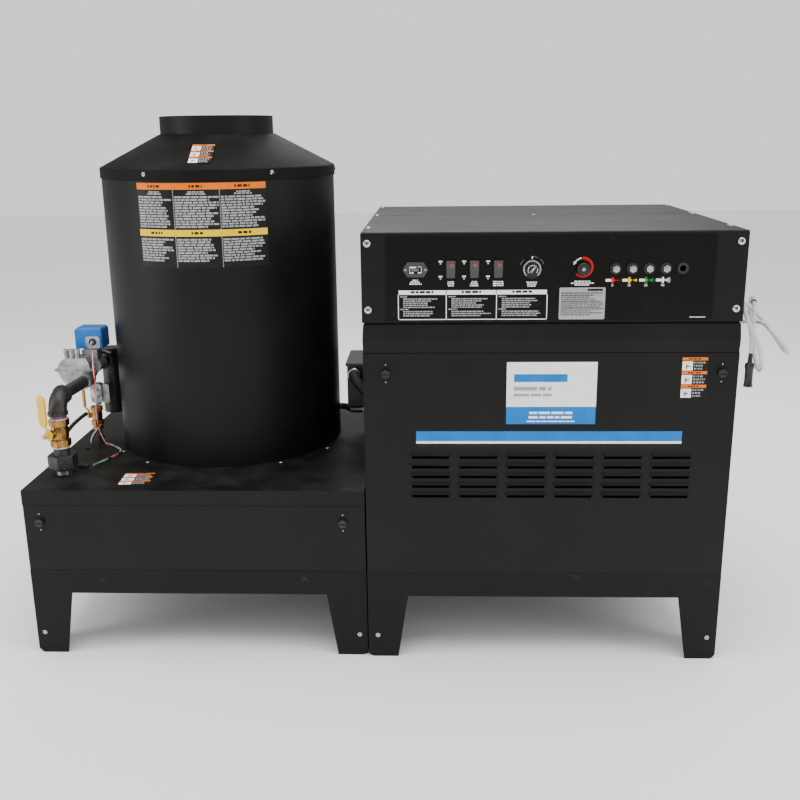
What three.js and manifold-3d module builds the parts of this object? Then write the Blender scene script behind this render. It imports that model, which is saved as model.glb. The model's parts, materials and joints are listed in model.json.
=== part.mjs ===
// Stationary hot-water pressure washer: a gas-fired water heater on its own stand, beside a
// cabinet that holds the motor, the pump and the controls.
// Millimetres, +Z up, the front faces -Y. The origin is on the floor under the middle of the box.
import * as THREE from 'three';
import { mergeVertices } from 'three/addons/utils/BufferGeometryUtils.js';
import Module from 'manifold-3d';

const wasm = await Module();
wasm.setup();

// ---------------------------------------------------------------- driving sizes
const touch = 0.3; // gap between two pieces that rest on each other
const running = 0.6; // gap round a piece that turns or slides
const hoseClear = 4; // gap round a hose where it passes through a sheet
const sheet = 2; // cabinet and deck sheet
const moduleGap = 3; // between the two stands

const stand = {
  height: 235, apron: 65, plate: 3, legFoot: 76, legTop: 102, flange: 30,
  toe: 70, chamfer: 12, boltRadius: 4.5, boltHeight: 57, boltInset: 24,
};
const heater = { width: 860, depth: 806, setback: 6, wrap: 176, rim: 39, lip: 2, burnerInset: 29 };
const pump = { width: 880, depth: 812, cabinet: 563, crease: 32, header: 73, box: 209 };
const pan = { depth: 20, flange: 75, rearFlange: 30 }; // folded edges of panels and sides
const boiler = {
  centreX: 440, centreY: 497, radius: 314, height: 760, skirt: 27.7, skirtOver: 8, skirtStep: 3,
  cone: 84, collarRadius: 152, collar: 46, collarSeat: 8,
};
const coil = { clear: 45, tube: 17, pitch: 84, turns: 6, lift: 150, stepsPerTurn: 14, sides: 5 };
const liner = { thickness: 22, gap: 2, lift: 40, drop: 40 };
const burner = {
  bars: 3, pitch: 120, barRadius: 14, length: 330, jets: 4, jetRadius: 11, jetHeight: 40, lift: 12,
};
const tray = { inset: 22, depth: 110, airHole: 120 };

const latch = {
  knob: 12, knobDepth: 9, draft: 1.5, shaft: 5, wingLength: 26, wing: 7, wingDepth: 3,
  slot: 4, slotDepth: 2.5,
};
const latchPlace = {
  heaterLeft: 40, heaterRight: 56, heaterDrop: 46, pumpLeft: 54, pumpRight: 38, pumpDrop: 49,
};
const sideLatch = { back: 62, drop: 42 };

const louvre = {
  columns: 6, rows: 5, pitch: 25, gap: 16, slot: 8, hood: 9, lip: 5, left: 110, right: 92, top: 245, end: 5,
};

const face = { left: 57, right: 71, margin: 5, thickness: 1.5, corner: 8 }; // glossy control plate
const bezel = { width: 26, height: 48, wall: 2, proud: 2.5 };
const rocker = { depth: 4, belly: 2.5, keel: 3, gap: 1.4, tilt: 10 };
const meter = { width: 60, height: 34, flat: 38, proud: 5, bodyWidth: 36, bodyHeight: 24, body: 32 };
const dial = { skirt: 22, skirtDepth: 3, grip: 13, depth: 18, shaft: 3.2, reach: 26, edge: 1 };
const valveKnob = { radius: 15, depth: 15, shaft: 4, reach: 30, edge: 2 };
const holder = {
  count: 5, pitch: 38, outer: 13.4, neck: 11, bore: 7.6, proud: 3.5, draft: 1.5,
  strip: 4, stripHeight: 34, stripOver: 4, barrel: 26,
};
const nozzle = { stem: 6.6, head: 8.4, headDepth: 9, tip: 5.4, tipDepth: 5, inside: 30 };
// how far along the control plate each control sits, and how far up it
const across = { meter: 0.092, rockers: [0.2, 0.272, 0.345], dial: 0.447, valve: 0.601, nozzles: 0.8 };
const controlLift = 124;
const lid = { split: 475, seam: 3, rise: 2 };
const boxFlange = 22;
const boxMouth = { side: 120, end: 160 }; // left round the opening in the control box's floor
const headerShape = { foot: 1, creaseDepth: 3, shoulder: 6, shoulderIn: 2, topIn: 7, innerTop: 9 };
const rearPort = { radius: 17, lift: 80, fromRight: [150, 220] }; // water inlet and high-pressure outlet

const pipe = { radius: 16.7, sides: 14 };
const riser = { x: 66, y: 128, hole: 31, below: 60 };
const union = {
  neck: 19, ring: 4, ringDepth: 8, nutFlat: 33, nutLow: 21, nutHigh: 55, collar: 22, top: 76,
};
const inletValve = { low: 77, high: 150, body: 20, hex: 23, boss: 11, bossReach: 33, lean: 30 };
const valveShape = { seat: 0.8, bulge: 1.15 }; // a ball valve's body, as shares of its radius
const elbow = { radius: 23.5, low: 160, axis: 205, bead: 26, beadLength: 9, bend: 1.7, steps: 6 };
const lever = {
  hub: 14, hubDepth: 4, nut: 8, nutDepth: 6, arm: 3,
  gripWidth: 26, gripDepth: 5, gripFrom: 26, gripTo: 108, offset: 12,
};
const leverShape = { arm: 0.6, step: 0.6, round: 0.9, lip: 0.2 }; // shares of the grip's own sizes
const gasValve = {
  x: 48, y: 351, width: 96, depth: 90, rim: 6, rimLift: 231, bowl: 52, bonnet: 27, shrink: 0.62,
  inletX: 78, boss: 21, bossDepth: 12, tower: 7.5, towerPitch: 15.5, towerHeight: 22, towerSet: 22,
  columnWidth: 36, columnTop: 281, columnBack: 38, ear: 4, port: 0.9, portLength: 2, portCover: 10,
  // how far in each level of the bonnet and the bowl lies: [share of its height, share of the body]
  bonnetLevels: [[0, 0.96], [0.55, 0.86]], bowlLevels: [[0.4, 0.82], [0, 0.94]], bowlFoot: 0.85,
};
const actuator = { width: 76, depth: 62, height: 58, bevel: 6, shiftX: 27, shiftY: 48 };
const conduitPlate = {
  width: 42, height: 36, thickness: 4, grommet: 9, edge: 4, sink: 1, proud: 4,
  grommetLift: 0.55, rightShare: 0.8, leftShare: 0.5, shoulder: 0.6,
};
const outlet = {
  x: 92, y: 490, lift: 236, tee: 29, teeTop: 0.8, leg: 27, legLow: 76, pipe: 21, bend: 2, elbow: 1.25,
  dropX: 140, dropY: 712, flange: 27, flangeHalf: 9, flangeY: 432,
  cap: 4, capUnder: 6, capOver: 22, bendSteps: 5,
};
const regulator = {
  x: 70, y: 412, width: 32, depth: 22, low: 112, high: 172, side: 20, sideDepth: 30,
  round: 9, sideRound: 8, foot: 5, lap: 4, step: 2, stub: 10, feed: 9,
};
const pilotValve = {
  x: 64, y: 410, low: 50, high: 104, body: 13, hex: 15.5, boss: 8, bossReach: 22, tail: 7, tailClear: 4,
  unionFlat: 0.8, unionUnder: 14, unionOver: 2, dropX: 6, dropY: 36,
};
const pilotLever = {
  hub: 9, hubDepth: 3, nut: 5, nutDepth: 4, arm: 2.5,
  gripWidth: 15, gripDepth: 4, gripFrom: 24, gripTo: 76, offset: 10,
};
const leads = { radius: 3, sides: 6, steps: 40 };
const loom = { radius: 5.5, sides: 8, steps: 24 };
const leadHole = { x: 56, y: 333, radius: 7 };

const motor = {
  x: 300, y: 430, radius: 100, length: 300, foot: 12, shaft: 14, nose: 30, base: 190,
  boxSize: 80, boxSink: 30,
  bell: 25, bellShare: 0.82, baseInset: 45, saddle: 0.7, saddleInset: 60,
};
const pumpHead = {
  x: 640, y: 400, width: 190, depth: 200, height: 170, foot: 40, head: 70, cap: 16, shaft: 15, nose: 26,
  headInset: 6, capPitch: 0.28, capUnder: 10, capOver: 22, rail: 45, railOver: 10,
  railInset: 15, seal: 2.2, sealDepth: 10,
};
const belt = {
  width: 13, thickness: 9, driver: 52, driven: 105, front: 250, groove: 1, rim: 6, hub: 30,
  hubOver: 8, sunk: 2,
};
const shaftGap = 5; // past the end of a shaft, inside its machine
const tank = {
  width: 78, depth: 170, height: 118, wall: 4, y: 430, lift: 312, lidOver: 4, lid: 8, clear: 6,
};
const suction = { radius: 15, sides: 12, y: 372, lift: 362, inside: 70 };
const pressure = {
  radius: 9, sides: 10, ferrule: 12, ferruleLength: 34, hex: 14, hexLength: 14, crimpFrom: 34,
  y: 470, lift: 294, inside: 60,
};
const strainer = { barb: 4.5, barbLength: 22, shoulder: 11, body: 9.5, flare: 11.5, length: 58 };
const vinyl = { radius: 5, sides: 8, steps: 56, y: 110, drop: 21, gland: 9, glandLength: 4 };

// ---------------------------------------------------------------- levels and edges
const nozzleReach = holder.proud + face.thickness + touch + nozzle.headDepth + nozzle.tipDepth;
const latchReach = latch.knobDepth + touch;
const overall = heater.width + moduleGap + pump.width;
const left = -(overall + latchReach) / 2; // left edge of the heater
const right = left + overall; // right edge of the pump cabinet
const pumpLeft = right - pump.width;
const heaterRight = left + heater.width;
const front = -(pump.depth - nozzleReach) / 2; // front plane of the pump cabinet
const back = front + pump.depth;
const heaterFront = front + heater.setback;
const heaterBack = heaterFront + heater.depth;
const seat = stand.height + touch;
const rimBottom = stand.height + heater.wrap;
const deckTop = rimBottom + heater.rim;
const headerBottom = stand.height + pump.cabinet;
const boxBottom = headerBottom + pump.header;
const boxTop = boxBottom + pump.box;
const lidBottom = boxTop - lid.rise - sheet;
const boilerX = left + boiler.centreX;
const boilerY = front + boiler.centreY;
const shellTop = deckTop + boiler.height;
const skirtTop = shellTop + boiler.skirtOver;
const skirtBottom = skirtTop - boiler.skirt;
const coneTop = skirtTop + boiler.cone;
const linerOuter = boiler.radius - sheet - liner.gap;
const coilRadius = linerOuter - liner.thickness - coil.clear - coil.tube;
const trayRadius = boiler.radius - tray.inset;
const burnerHole = boiler.radius - heater.burnerInset;
const pilotDrop = [left + pilotValve.x - pilotValve.dropX, front + pilotValve.y + pilotValve.dropY];

// ---------------------------------------------------------------- solids
const grain = 1 / 1024; // corners sit on this grid, so faces meant to be level are level
const weld = 1e-4;
const facets = { shell: 48, wide: 32, large: 24, medium: 16, small: 12, tiny: 8 }; // sides of round pieces

// A closed geometry as a solid, turned right side out where it was built inside out.
function solid(geometry) {
  const bare = geometry.clone();
  bare.deleteAttribute('normal');
  bare.deleteAttribute('uv');
  const place = bare.attributes.position.array;
  place.forEach((value, i) => { place[i] = Math.round(value / grain) * grain; });
  const welded = mergeVertices(bare, weld);
  const position = welded.attributes.position;
  const corners = Array.from(welded.index.array);
  const kept = [];
  let volume = 0;
  const [a, b, c] = [new THREE.Vector3(), new THREE.Vector3(), new THREE.Vector3()];
  for (let i = 0; i < corners.length; i += 3) {
    const [p, q, r] = corners.slice(i, i + 3);
    if (p === q || q === r || r === p) continue;
    kept.push([p, q, r]);
    a.fromBufferAttribute(position, p);
    b.fromBufferAttribute(position, q);
    c.fromBufferAttribute(position, r);
    volume += a.dot(b.cross(c));
  }
  const faces = volume < 0 ? kept.map(([p, q, r]) => [p, r, q]) : kept;
  return new wasm.Manifold(new wasm.Mesh({
    numProp: 3,
    vertProperties: new Float32Array(position.array),
    triVerts: new Uint32Array(faces.flat()),
  }));
}

const join = (...solids) => solids.reduce((whole, piece) => whole.add(piece));
const cut = (body, ...tools) => tools.reduce((rest, tool) => rest.subtract(tool), body);

function block(x0, x1, y0, y1, z0, z1) {
  const geometry = new THREE.BoxGeometry(x1 - x0, y1 - y0, z1 - z0);
  geometry.translate((x0 + x1) / 2, (y0 + y1) / 2, (z0 + z1) / 2);
  return solid(geometry);
}

// A rod from one point to another.
function rod(from, to, radius, sides = facets.medium, endRadius = radius) {
  const start = new THREE.Vector3(...from);
  const way = new THREE.Vector3(...to).sub(start);
  const geometry = new THREE.CylinderGeometry(endRadius, radius, way.length(), sides);
  geometry.translate(0, way.length() / 2, 0);
  const turn = new THREE.Quaternion().setFromUnitVectors(new THREE.Vector3(0, 1, 0), way.normalize());
  geometry.applyQuaternion(turn);
  geometry.translate(start.x, start.y, start.z);
  return solid(geometry);
}

// A profile of [radius, height] points turned about +Z, then set at a place.
function turned(profile, sides, place = [0, 0, 0]) {
  const points = profile.map(([radius, height]) => new THREE.Vector2(radius, height));
  const geometry = new THREE.LatheGeometry(points, sides);
  geometry.rotateX(Math.PI / 2);
  geometry.translate(...place);
  return solid(geometry);
}

function ring(outer, inner, low, high, sides, place) {
  return turned([[inner, low], [outer, low], [outer, high], [inner, high], [inner, low]], sides, place);
}

function outline(points) {
  return new THREE.Shape(points.map(([x, y]) => new THREE.Vector2(x, y)));
}

// A flat outline given a thickness: [across, up] points in the plane whose normal is the axis.
const planes = {
  x: new THREE.Matrix4().makeBasis(
    new THREE.Vector3(0, 1, 0), new THREE.Vector3(0, 0, 1), new THREE.Vector3(1, 0, 0)),
  y: new THREE.Matrix4().makeBasis(
    new THREE.Vector3(1, 0, 0), new THREE.Vector3(0, 0, 1), new THREE.Vector3(0, -1, 0)),
  z: new THREE.Matrix4(),
};
function slab(axis, points, from, to) {
  const shape = points instanceof THREE.Shape ? points : outline(points);
  const geometry = new THREE.ExtrudeGeometry(shape,
    { depth: to - from, bevelEnabled: false, curveSegments: 4 });
  geometry.applyMatrix4(planes[axis]);
  const shift = { x: [from, 0, 0], y: [0, to, 0], z: [0, 0, from] }[axis];
  geometry.translate(...shift);
  return solid(geometry);
}

function roundedRectangle(x0, x1, z0, z1, radius) {
  const shape = new THREE.Shape();
  shape.moveTo(x0 + radius, z0);
  shape.lineTo(x1 - radius, z0);
  shape.absarc(x1 - radius, z0 + radius, radius, -Math.PI / 2, 0);
  shape.lineTo(x1, z1 - radius);
  shape.absarc(x1 - radius, z1 - radius, radius, 0, Math.PI / 2);
  shape.lineTo(x0 + radius, z1);
  shape.absarc(x0 + radius, z1 - radius, radius, Math.PI / 2, Math.PI);
  shape.lineTo(x0, z0 + radius);
  shape.absarc(x0 + radius, z0 + radius, radius, Math.PI, Math.PI * 1.5);
  return shape;
}

// Rectangles stacked at rising heights: [z, x0, x1, y0, y1].
function stack(levels) {
  const vertices = levels.flatMap(([z, x0, x1, y0, y1]) => [x0, y0, z, x1, y0, z, x1, y1, z, x0, y1, z]);
  const faces = [0, 2, 1, 0, 3, 2];
  for (let level = 0; level < levels.length - 1; level += 1) {
    for (let side = 0; side < 4; side += 1) {
      const here = level * 4 + side;
      const next = level * 4 + (side + 1) % 4;
      faces.push(here, next, next + 4, here, next + 4, here + 4);
    }
  }
  const top = (levels.length - 1) * 4;
  faces.push(top, top + 1, top + 2, top, top + 2, top + 3);
  const geometry = new THREE.BufferGeometry();
  geometry.setAttribute('position', new THREE.Float32BufferAttribute(vertices, 3));
  geometry.setIndex(faces);
  return solid(geometry);
}

// A round tube along a curve through points.
function tube(points, radius, sides, steps) {
  const path = points instanceof THREE.Curve ? points
    : new THREE.CatmullRomCurve3(points.map((point) => new THREE.Vector3(...point)), false, 'centripetal');
  const section = new THREE.Shape();
  for (let side = 0; side < sides; side += 1) {
    const angle = side / sides * Math.PI * 2;
    const [x, y] = [Math.cos(angle) * radius, Math.sin(angle) * radius];
    if (side) section.lineTo(x, y);
    else section.moveTo(x, y);
  }
  return solid(new THREE.ExtrudeGeometry(section, { steps, extrudePath: path, bevelEnabled: false }));
}

const hexagon = (flat, low, high, place) => turned(
  [[0, low], [flat / Math.cos(Math.PI / 6), low], [flat / Math.cos(Math.PI / 6), high],
    [0, high]], 6, place);

// ---------------------------------------------------------------- finishes
const finish = (color, roughness, metalness) => new THREE.MeshStandardMaterial({ color, roughness,
  metalness });
const powderCoat = finish(0x2b2a29, 0.5, 0.2);
const standCoat = finish(0x252423, 0.55, 0.2);
const gloss = finish(0x0c0c0c, 0.15, 0);
const blackPlastic = finish(0x17171a, 0.4, 0);
const rubber = finish(0x101010, 0.8, 0);
const blackIron = finish(0x35343a, 0.55, 0.6);
const brass = finish(0xa9885a, 0.35, 0.9);
const aluminium = finish(0xb5b4b0, 0.45, 0.8);
const steel = finish(0xc8c8c8, 0.25, 0.95);
const yellow = finish(0xf0c800, 0.5, 0);
const blue = finish(0x1a75a8, 0.35, 0.1);
const red = finish(0xb04040, 0.5, 0);
const blanket = finish(0xe8e4da, 0.95, 0);
const motorPaint = finish(0x3c4248, 0.5, 0.3);
const vinylClear = finish(0xd8d8d6, 0.3, 0);

const machine = new THREE.Group();

function add(name, body, material) {
  const { numProp, vertProperties, triVerts } = body.getMesh();
  const positions = new Float32Array(vertProperties.length / numProp * 3);
  for (let i = 0; i * numProp < vertProperties.length; i += 1) {
    positions.set(vertProperties.subarray(i * numProp, i * numProp + 3), i * 3);
  }
  const geometry = new THREE.BufferGeometry();
  geometry.setAttribute('position', new THREE.BufferAttribute(positions, 3));
  geometry.setIndex(new THREE.BufferAttribute(new Uint32Array(triVerts), 1));
  geometry.computeVertexNormals();
  const mesh = new THREE.Mesh(geometry, material);
  mesh.name = name;
  machine.add(mesh);
}

// ---------------------------------------------------------------- stands
// One face of a stand: an apron with a tapered leg at each end.
function standFace(x0, x1) {
  const apronBottom = stand.height - stand.apron;
  return [
    [x0, stand.height], [x0, stand.chamfer], [x0 + stand.chamfer, 0], [x0 + stand.legFoot, 0],
    [x0 + stand.legTop, apronBottom], [x1 - stand.legTop, apronBottom], [x1 - stand.legFoot, 0],
    [x1 - stand.chamfer, 0], [x1, stand.chamfer], [x1, stand.height],
  ];
}

function makeStand(x0, x1, y0, y1) {
  const { plate, flange, toe, chamfer, boltInset, boltHeight, boltRadius } = stand;
  const faces = [
    slab('y', standFace(x0, x1), y0, y0 + plate),
    slab('y', standFace(x0, x1), y1 - plate, y1),
    slab('x', standFace(y0, y1), x0, x0 + plate),
    slab('x', standFace(y0, y1), x1 - plate, x1),
  ];
  const top = cut(
    block(x0, x1, y0, y1, stand.height - plate, stand.height),
    block(x0 + flange, x1 - flange, y0 + flange, y1 - flange, 0, stand.height * 2),
  );
  const toes = [];
  for (const [x, inX] of [[x0, 1], [x1, -1]]) {
    for (const [y, inY] of [[y0, 1], [y1, -1]]) {
      const corner = [[x + inX * chamfer, y], [x + inX * toe, y], [x, y + inY * toe],
        [x, y + inY * chamfer]];
      toes.push(slab('z', corner, 0, plate));
    }
  }
  const holes = [];
  for (const x of [x0 + boltInset, x1 - boltInset]) {
    holes.push(rod([x, y0 - plate, boltHeight], [x, y0 + plate * 2, boltHeight], boltRadius, facets.tiny));
    holes.push(rod([x, y1 - plate * 2, boltHeight], [x, y1 + plate, boltHeight], boltRadius, facets.tiny));
  }
  return cut(join(...faces, top, ...toes), ...holes);
}

add('heater_stand', makeStand(left, heaterRight, heaterFront, heaterBack), standCoat);
const pumpFloor = block(pumpLeft + sheet, right - sheet, front + sheet, back - sheet,
  stand.height - sheet, stand.height);
add('pump_stand', join(makeStand(pumpLeft, right, front, back), pumpFloor), standCoat);

// ---------------------------------------------------------------- folded panels
// A front panel: a face with its four edges folded back, and a hole for each latch.
function frontPan(x0, x1, y0, z0, z1, latches) {
  const body = cut(
    block(x0, x1, y0, y0 + pan.depth, z0, z1),
    block(x0 + sheet, x1 - sheet, y0 + sheet, y0 + pan.depth * 2, z0 + sheet, z1 - sheet),
  );
  return cut(body, ...latches.map(([x, z]) => rod([x, y0 - sheet, z], [x, y0 + sheet * 2, z],
    latch.shaft + running, facets.small)));
}

// The slot that a latch's wing passes through, in a flange behind the panel.
function latchSlot(x, z, y) {
  const half = latch.wingLength / 2 + running * 2;
  const high = latch.wing / 2 + running * 2;
  return join(
    block(x - half, x + half, y - sheet, y + sheet * 2, z - high, z + high),
    rod([x, y - sheet, z], [x, y + sheet * 2, z], latch.shaft + running, facets.small),
  );
}

// A quarter-turn latch about +Y: a slotted knob, a shaft and a wing behind the flange.
function makeLatch(x, y, z) {
  const wingFront = y + pan.depth + touch + sheet + touch;
  const wingBack = wingFront + latch.wingDepth;
  const knob = rod([x, y - touch, z], [x, y - touch - latch.knobDepth, z], latch.knob, facets.medium,
    latch.knob - latch.draft);
  const slot = block(
    x - latch.knob * 2, x + latch.knob * 2,
    y - touch - latch.knobDepth * 2, y - touch - latch.knobDepth + latch.slotDepth,
    z - latch.slot / 2, z + latch.slot / 2);
  const halfWing = latch.wingLength / 2;
  return join(
    cut(knob, slot),
    rod([x, y - touch * 2, z], [x, wingBack, z], latch.shaft, facets.tiny),
    block(x - halfWing, x + halfWing, wingFront, wingBack, z - latch.wing / 2, z + latch.wing / 2),
  );
}

// ---------------------------------------------------------------- heater base
const heaterLatches = [
  [left + latchPlace.heaterLeft, rimBottom - latchPlace.heaterDrop],
  [heaterRight - latchPlace.heaterRight, rimBottom - latchPlace.heaterDrop],
];
const flangeY = heaterFront + pan.depth + touch;
const wrapTop = rimBottom + heater.rim - sheet - touch;

function heaterWrap() {
  const x0 = left + sheet + touch;
  const x1 = heaterRight - sheet - touch;
  const y1 = heaterBack - sheet - touch;
  const shell = cut(
    block(x0, x1, flangeY, y1, seat, wrapTop),
    block(x0 + sheet, x1 - sheet, flangeY + sheet, y1 - sheet, 0, deckTop * 2),
    block(x0 + pan.flange, x1 - pan.flange, flangeY - sheet, flangeY + sheet * 2, 0, deckTop * 2),
  );
  return cut(shell, ...heaterLatches.map(([x, z]) => latchSlot(x, z, flangeY)));
}

function heaterDeck() {
  const outer = block(left, heaterRight, heaterFront - heater.lip, heaterBack, rimBottom, deckTop);
  const inner = block(
    left + sheet, heaterRight - sheet, heaterFront - heater.lip + sheet, heaterBack - sheet,
    0, deckTop - sheet);
  const low = deckTop - sheet * 2;
  const high = deckTop + sheet;
  const drop = [left + outlet.dropX, front + outlet.dropY];
  return cut(
    outer, inner,
    rod([boilerX, boilerY, low], [boilerX, boilerY, high], burnerHole, facets.wide),
    rod([left + riser.x, front + riser.y, low], [left + riser.x, front + riser.y, high], riser.hole,
      facets.medium),
    rod([...drop, low], [...drop, high], outlet.pipe + running, facets.medium),
    rod([...pilotDrop, low], [...pilotDrop, high], pilotValve.tail + pilotValve.tailClear, facets.small),
    rod([left + leadHole.x, front + leadHole.y, low], [left + leadHole.x, front + leadHole.y, high],
      leadHole.radius, facets.tiny),
  );
}

const panelTop = rimBottom - touch * 2;
add('heater_wrap', heaterWrap(), powderCoat);
add('heater_front_panel', frontPan(left + touch, heaterRight - touch, heaterFront, seat, panelTop,
  heaterLatches), powderCoat);
add('heater_latch_left', makeLatch(heaterLatches[0][0], heaterFront, heaterLatches[0][1]), blackPlastic);
add('heater_latch_right', makeLatch(heaterLatches[1][0], heaterFront, heaterLatches[1][1]), blackPlastic);
add('heater_deck', heaterDeck(), powderCoat);

// ---------------------------------------------------------------- boiler
const boilerPlace = [boilerX, boilerY, 0];
const shellBottom = deckTop + touch;
const trayTop = deckTop - sheet - touch;
const trayBottom = trayTop - tray.depth;

add('burner_tray', turned([
  [tray.airHole, trayBottom], [trayRadius, trayBottom], [trayRadius, trayTop], [trayRadius - sheet,
    trayTop],
  [trayRadius - sheet, trayBottom + sheet], [tray.airHole, trayBottom + sheet], [tray.airHole, trayBottom],
], facets.wide, boilerPlace), standCoat);

add('boiler_shell', ring(boiler.radius, boiler.radius - sheet, shellBottom, shellTop, facets.shell,
  boilerPlace), powderCoat);

const skirtRadius = boiler.radius + boiler.skirtStep;
const neck = boiler.collarRadius + touch;
add('boiler_hood', turned([
  [skirtRadius, skirtBottom], [skirtRadius, skirtTop], [neck + sheet, coneTop], [neck, coneTop],
  [neck, coneTop - sheet], [skirtRadius - sheet, skirtTop - sheet],
  [skirtRadius - sheet, skirtBottom], [skirtRadius, skirtBottom],
], facets.shell, boilerPlace), powderCoat);

add('flue_collar', ring(
  boiler.collarRadius, boiler.collarRadius - sheet, coneTop - boiler.collarSeat,
  coneTop + boiler.collar, facets.shell, boilerPlace,
), powderCoat);

class Helix extends THREE.Curve {
  getPoint(t, target = new THREE.Vector3()) {
    const angle = t * coil.turns * Math.PI * 2;
    const height = deckTop + coil.lift + t * coil.turns * coil.pitch;
    return target.set(boilerX + Math.cos(angle) * coilRadius, boilerY + Math.sin(angle) * coilRadius,
      height);
  }
}
add('heating_coil', tube(new Helix(), coil.tube, coil.sides, coil.turns * coil.stepsPerTurn), blackIron);

add('coil_insulation', ring(
  linerOuter, linerOuter - liner.thickness, shellBottom + liner.lift,
  shellTop - liner.drop, facets.wide, boilerPlace,
), blanket);

// Bars of jets over the tray, fed through a pipe from the gas train.
const burnerZ = deckTop + burner.lift + burner.barRadius;
function burnerManifold() {
  const parts = [];
  for (let bar = 0; bar < burner.bars; bar += 1) {
    const x = boilerX + (bar - (burner.bars - 1) / 2) * burner.pitch;
    const half = burner.length / 2;
    parts.push(rod([x, boilerY - half, burnerZ], [x, boilerY + half, burnerZ], burner.barRadius,
      facets.tiny));
    for (let jet = 0; jet < burner.jets; jet += 1) {
      const y = boilerY + (jet - (burner.jets - 1) / 2) * burner.length / burner.jets;
      parts.push(rod([x, y, burnerZ], [x, y, burnerZ + burner.jetHeight], burner.jetRadius, 6));
    }
  }
  const reach = (burner.bars - 1) / 2 * burner.pitch + burner.barRadius;
  parts.push(rod([boilerX - reach, boilerY, burnerZ], [boilerX + reach, boilerY, burnerZ],
    burner.barRadius, facets.tiny));
  return join(...parts);
}
add('burner_manifold', burnerManifold(), blackIron);

// ---------------------------------------------------------------- gas train
const riserX = left + riser.x;
const riserY = front + riser.y;
const up = (lift) => deckTop + lift;

function gasUnion() {
  const place = [riserX, riserY, 0];
  const ringLow = union.nutLow - union.ringDepth;
  const ringRadius = union.neck + union.ring;
  return join(
    rod([riserX, riserY, up(-riser.below)], [riserX, riserY, up(union.top)], pipe.radius, pipe.sides),
    turned([[0, up(ringLow)], [ringRadius, up(ringLow)], [ringRadius, up(union.nutLow)],
      [0, up(union.nutLow)]], pipe.sides, place),
    hexagon(union.nutFlat, up(union.nutLow), up(union.nutHigh), place),
    turned([[0, up(union.nutHigh)], [union.collar, up(union.nutHigh)], [union.collar, up(union.top)],
      [0, up(union.top)]], facets.tiny, place),
  );
}
add('gas_union', gasUnion(), blackIron);

// A ball valve on a vertical line: two hex ends, a round body and a stem boss.
function ballValve(size, x, y, way) {
  const middle = (size.low + size.high) / 2;
  const end = (size.high - size.low) / 4;
  const place = [x, y, 0];
  const seatRadius = size.body * valveShape.seat;
  const bulge = size.body * valveShape.bulge;
  const stem = [x + way[0] * size.bossReach, y + way[1] * size.bossReach, up(middle)];
  return join(
    hexagon(size.hex, up(size.low), up(size.low + end), place),
    hexagon(size.hex, up(size.high - end), up(size.high), place),
    turned([
      [0, up(size.low)], [seatRadius, up(size.low)], [bulge, up(middle - end / 2)],
      [bulge, up(middle + end / 2)], [seatRadius, up(size.high)], [0, up(size.high)],
    ], facets.small, place),
    rod([x, y, up(middle)], stem, size.boss, facets.tiny),
  );
}

// Its lever: a hub and nut on the stem, an arm that steps outward, and a flat grip above.
function valveLever(size, valve, x, y, way) {
  const z = up((valve.low + valve.high) / 2);
  const at = (reach) => [x + way[0] * reach, y + way[1] * reach];
  const near = valve.bossReach + touch;
  const far = near + size.hubDepth;
  const angle = Math.atan2(way[0], -way[1]);
  const turnTo = (body) => body.rotate([0, 0, THREE.MathUtils.radToDeg(angle)]).translate([x, y, z]);
  const half = size.gripWidth / 2;
  const narrow = half * leverShape.arm;
  const gripNear = -(near + size.offset);
  const arm = stack([
    [0, -narrow, narrow, -far, -near], [size.gripFrom * leverShape.step, -narrow, narrow, -far, -near],
    [size.gripFrom, -narrow, narrow, gripNear - size.arm, gripNear],
    [size.gripTo - half, -narrow, narrow, gripNear - size.arm, gripNear],
  ]);
  const grip = slab('y', roundedRectangle(-half, half, size.gripFrom, size.gripTo, half * leverShape.round),
    gripNear - size.gripDepth, gripNear + size.gripDepth * leverShape.lip);
  return join(
    rod([...at(near), z], [...at(far), z], size.hub, facets.small),
    rod([...at(far), z], [...at(far + size.nutDepth), z], size.nut, 6),
    turnTo(join(arm, grip)),
  );
}

const lean = THREE.MathUtils.degToRad(inletValve.lean);
const inletWay = [-Math.sin(lean), -Math.cos(lean)];
add('inlet_ball_valve', ballValve(inletValve, riserX, riserY, inletWay), brass);
add('inlet_valve_lever', valveLever(lever, inletValve, riserX, riserY, inletWay), yellow);

const valveX = left + gasValve.x;
const valveY = front + gasValve.y;
const valveFront = valveY - gasValve.depth / 2;
const inletX = left + gasValve.inletX;
const pipeStart = [riserX, riserY, up(elbow.axis)];
const pipeEnd = [inletX, valveFront, up(elbow.axis)];
const pipeWay = new THREE.Vector3(...pipeEnd).sub(new THREE.Vector3(...pipeStart)).normalize();
const alongPipe = (length) => new THREE.Vector3(...pipeStart).addScaledVector(pipeWay, length).toArray();

function gasElbow() {
  const bend = elbow.radius * elbow.bend;
  const low = [riserX, riserY, up(elbow.low)];
  const corner = new THREE.QuadraticBezierCurve3(
    new THREE.Vector3(...low), new THREE.Vector3(...pipeStart), new THREE.Vector3(...alongPipe(bend)));
  return join(
    tube(corner, elbow.radius, facets.small, elbow.steps),
    rod([riserX, riserY, up(inletValve.high + touch)], low, pipe.radius, pipe.sides),
    rod([riserX, riserY, up(elbow.low)], [riserX, riserY, up(elbow.low + elbow.beadLength)], elbow.bead,
      facets.small),
    rod(alongPipe(bend - elbow.beadLength), alongPipe(bend), elbow.bead, facets.small),
  );
}
add('gas_elbow', gasElbow(), blackIron);
const bossFace = valveFront - gasValve.bossDepth;
add('gas_pipe', cut(
  rod(alongPipe(elbow.radius * elbow.bend + touch), pipeEnd, pipe.radius, pipe.sides),
  block(inletX - gasValve.width, inletX + gasValve.width, bossFace - touch, valveY, up(0),
    up(elbow.axis * 2)),
), blackIron);

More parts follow.
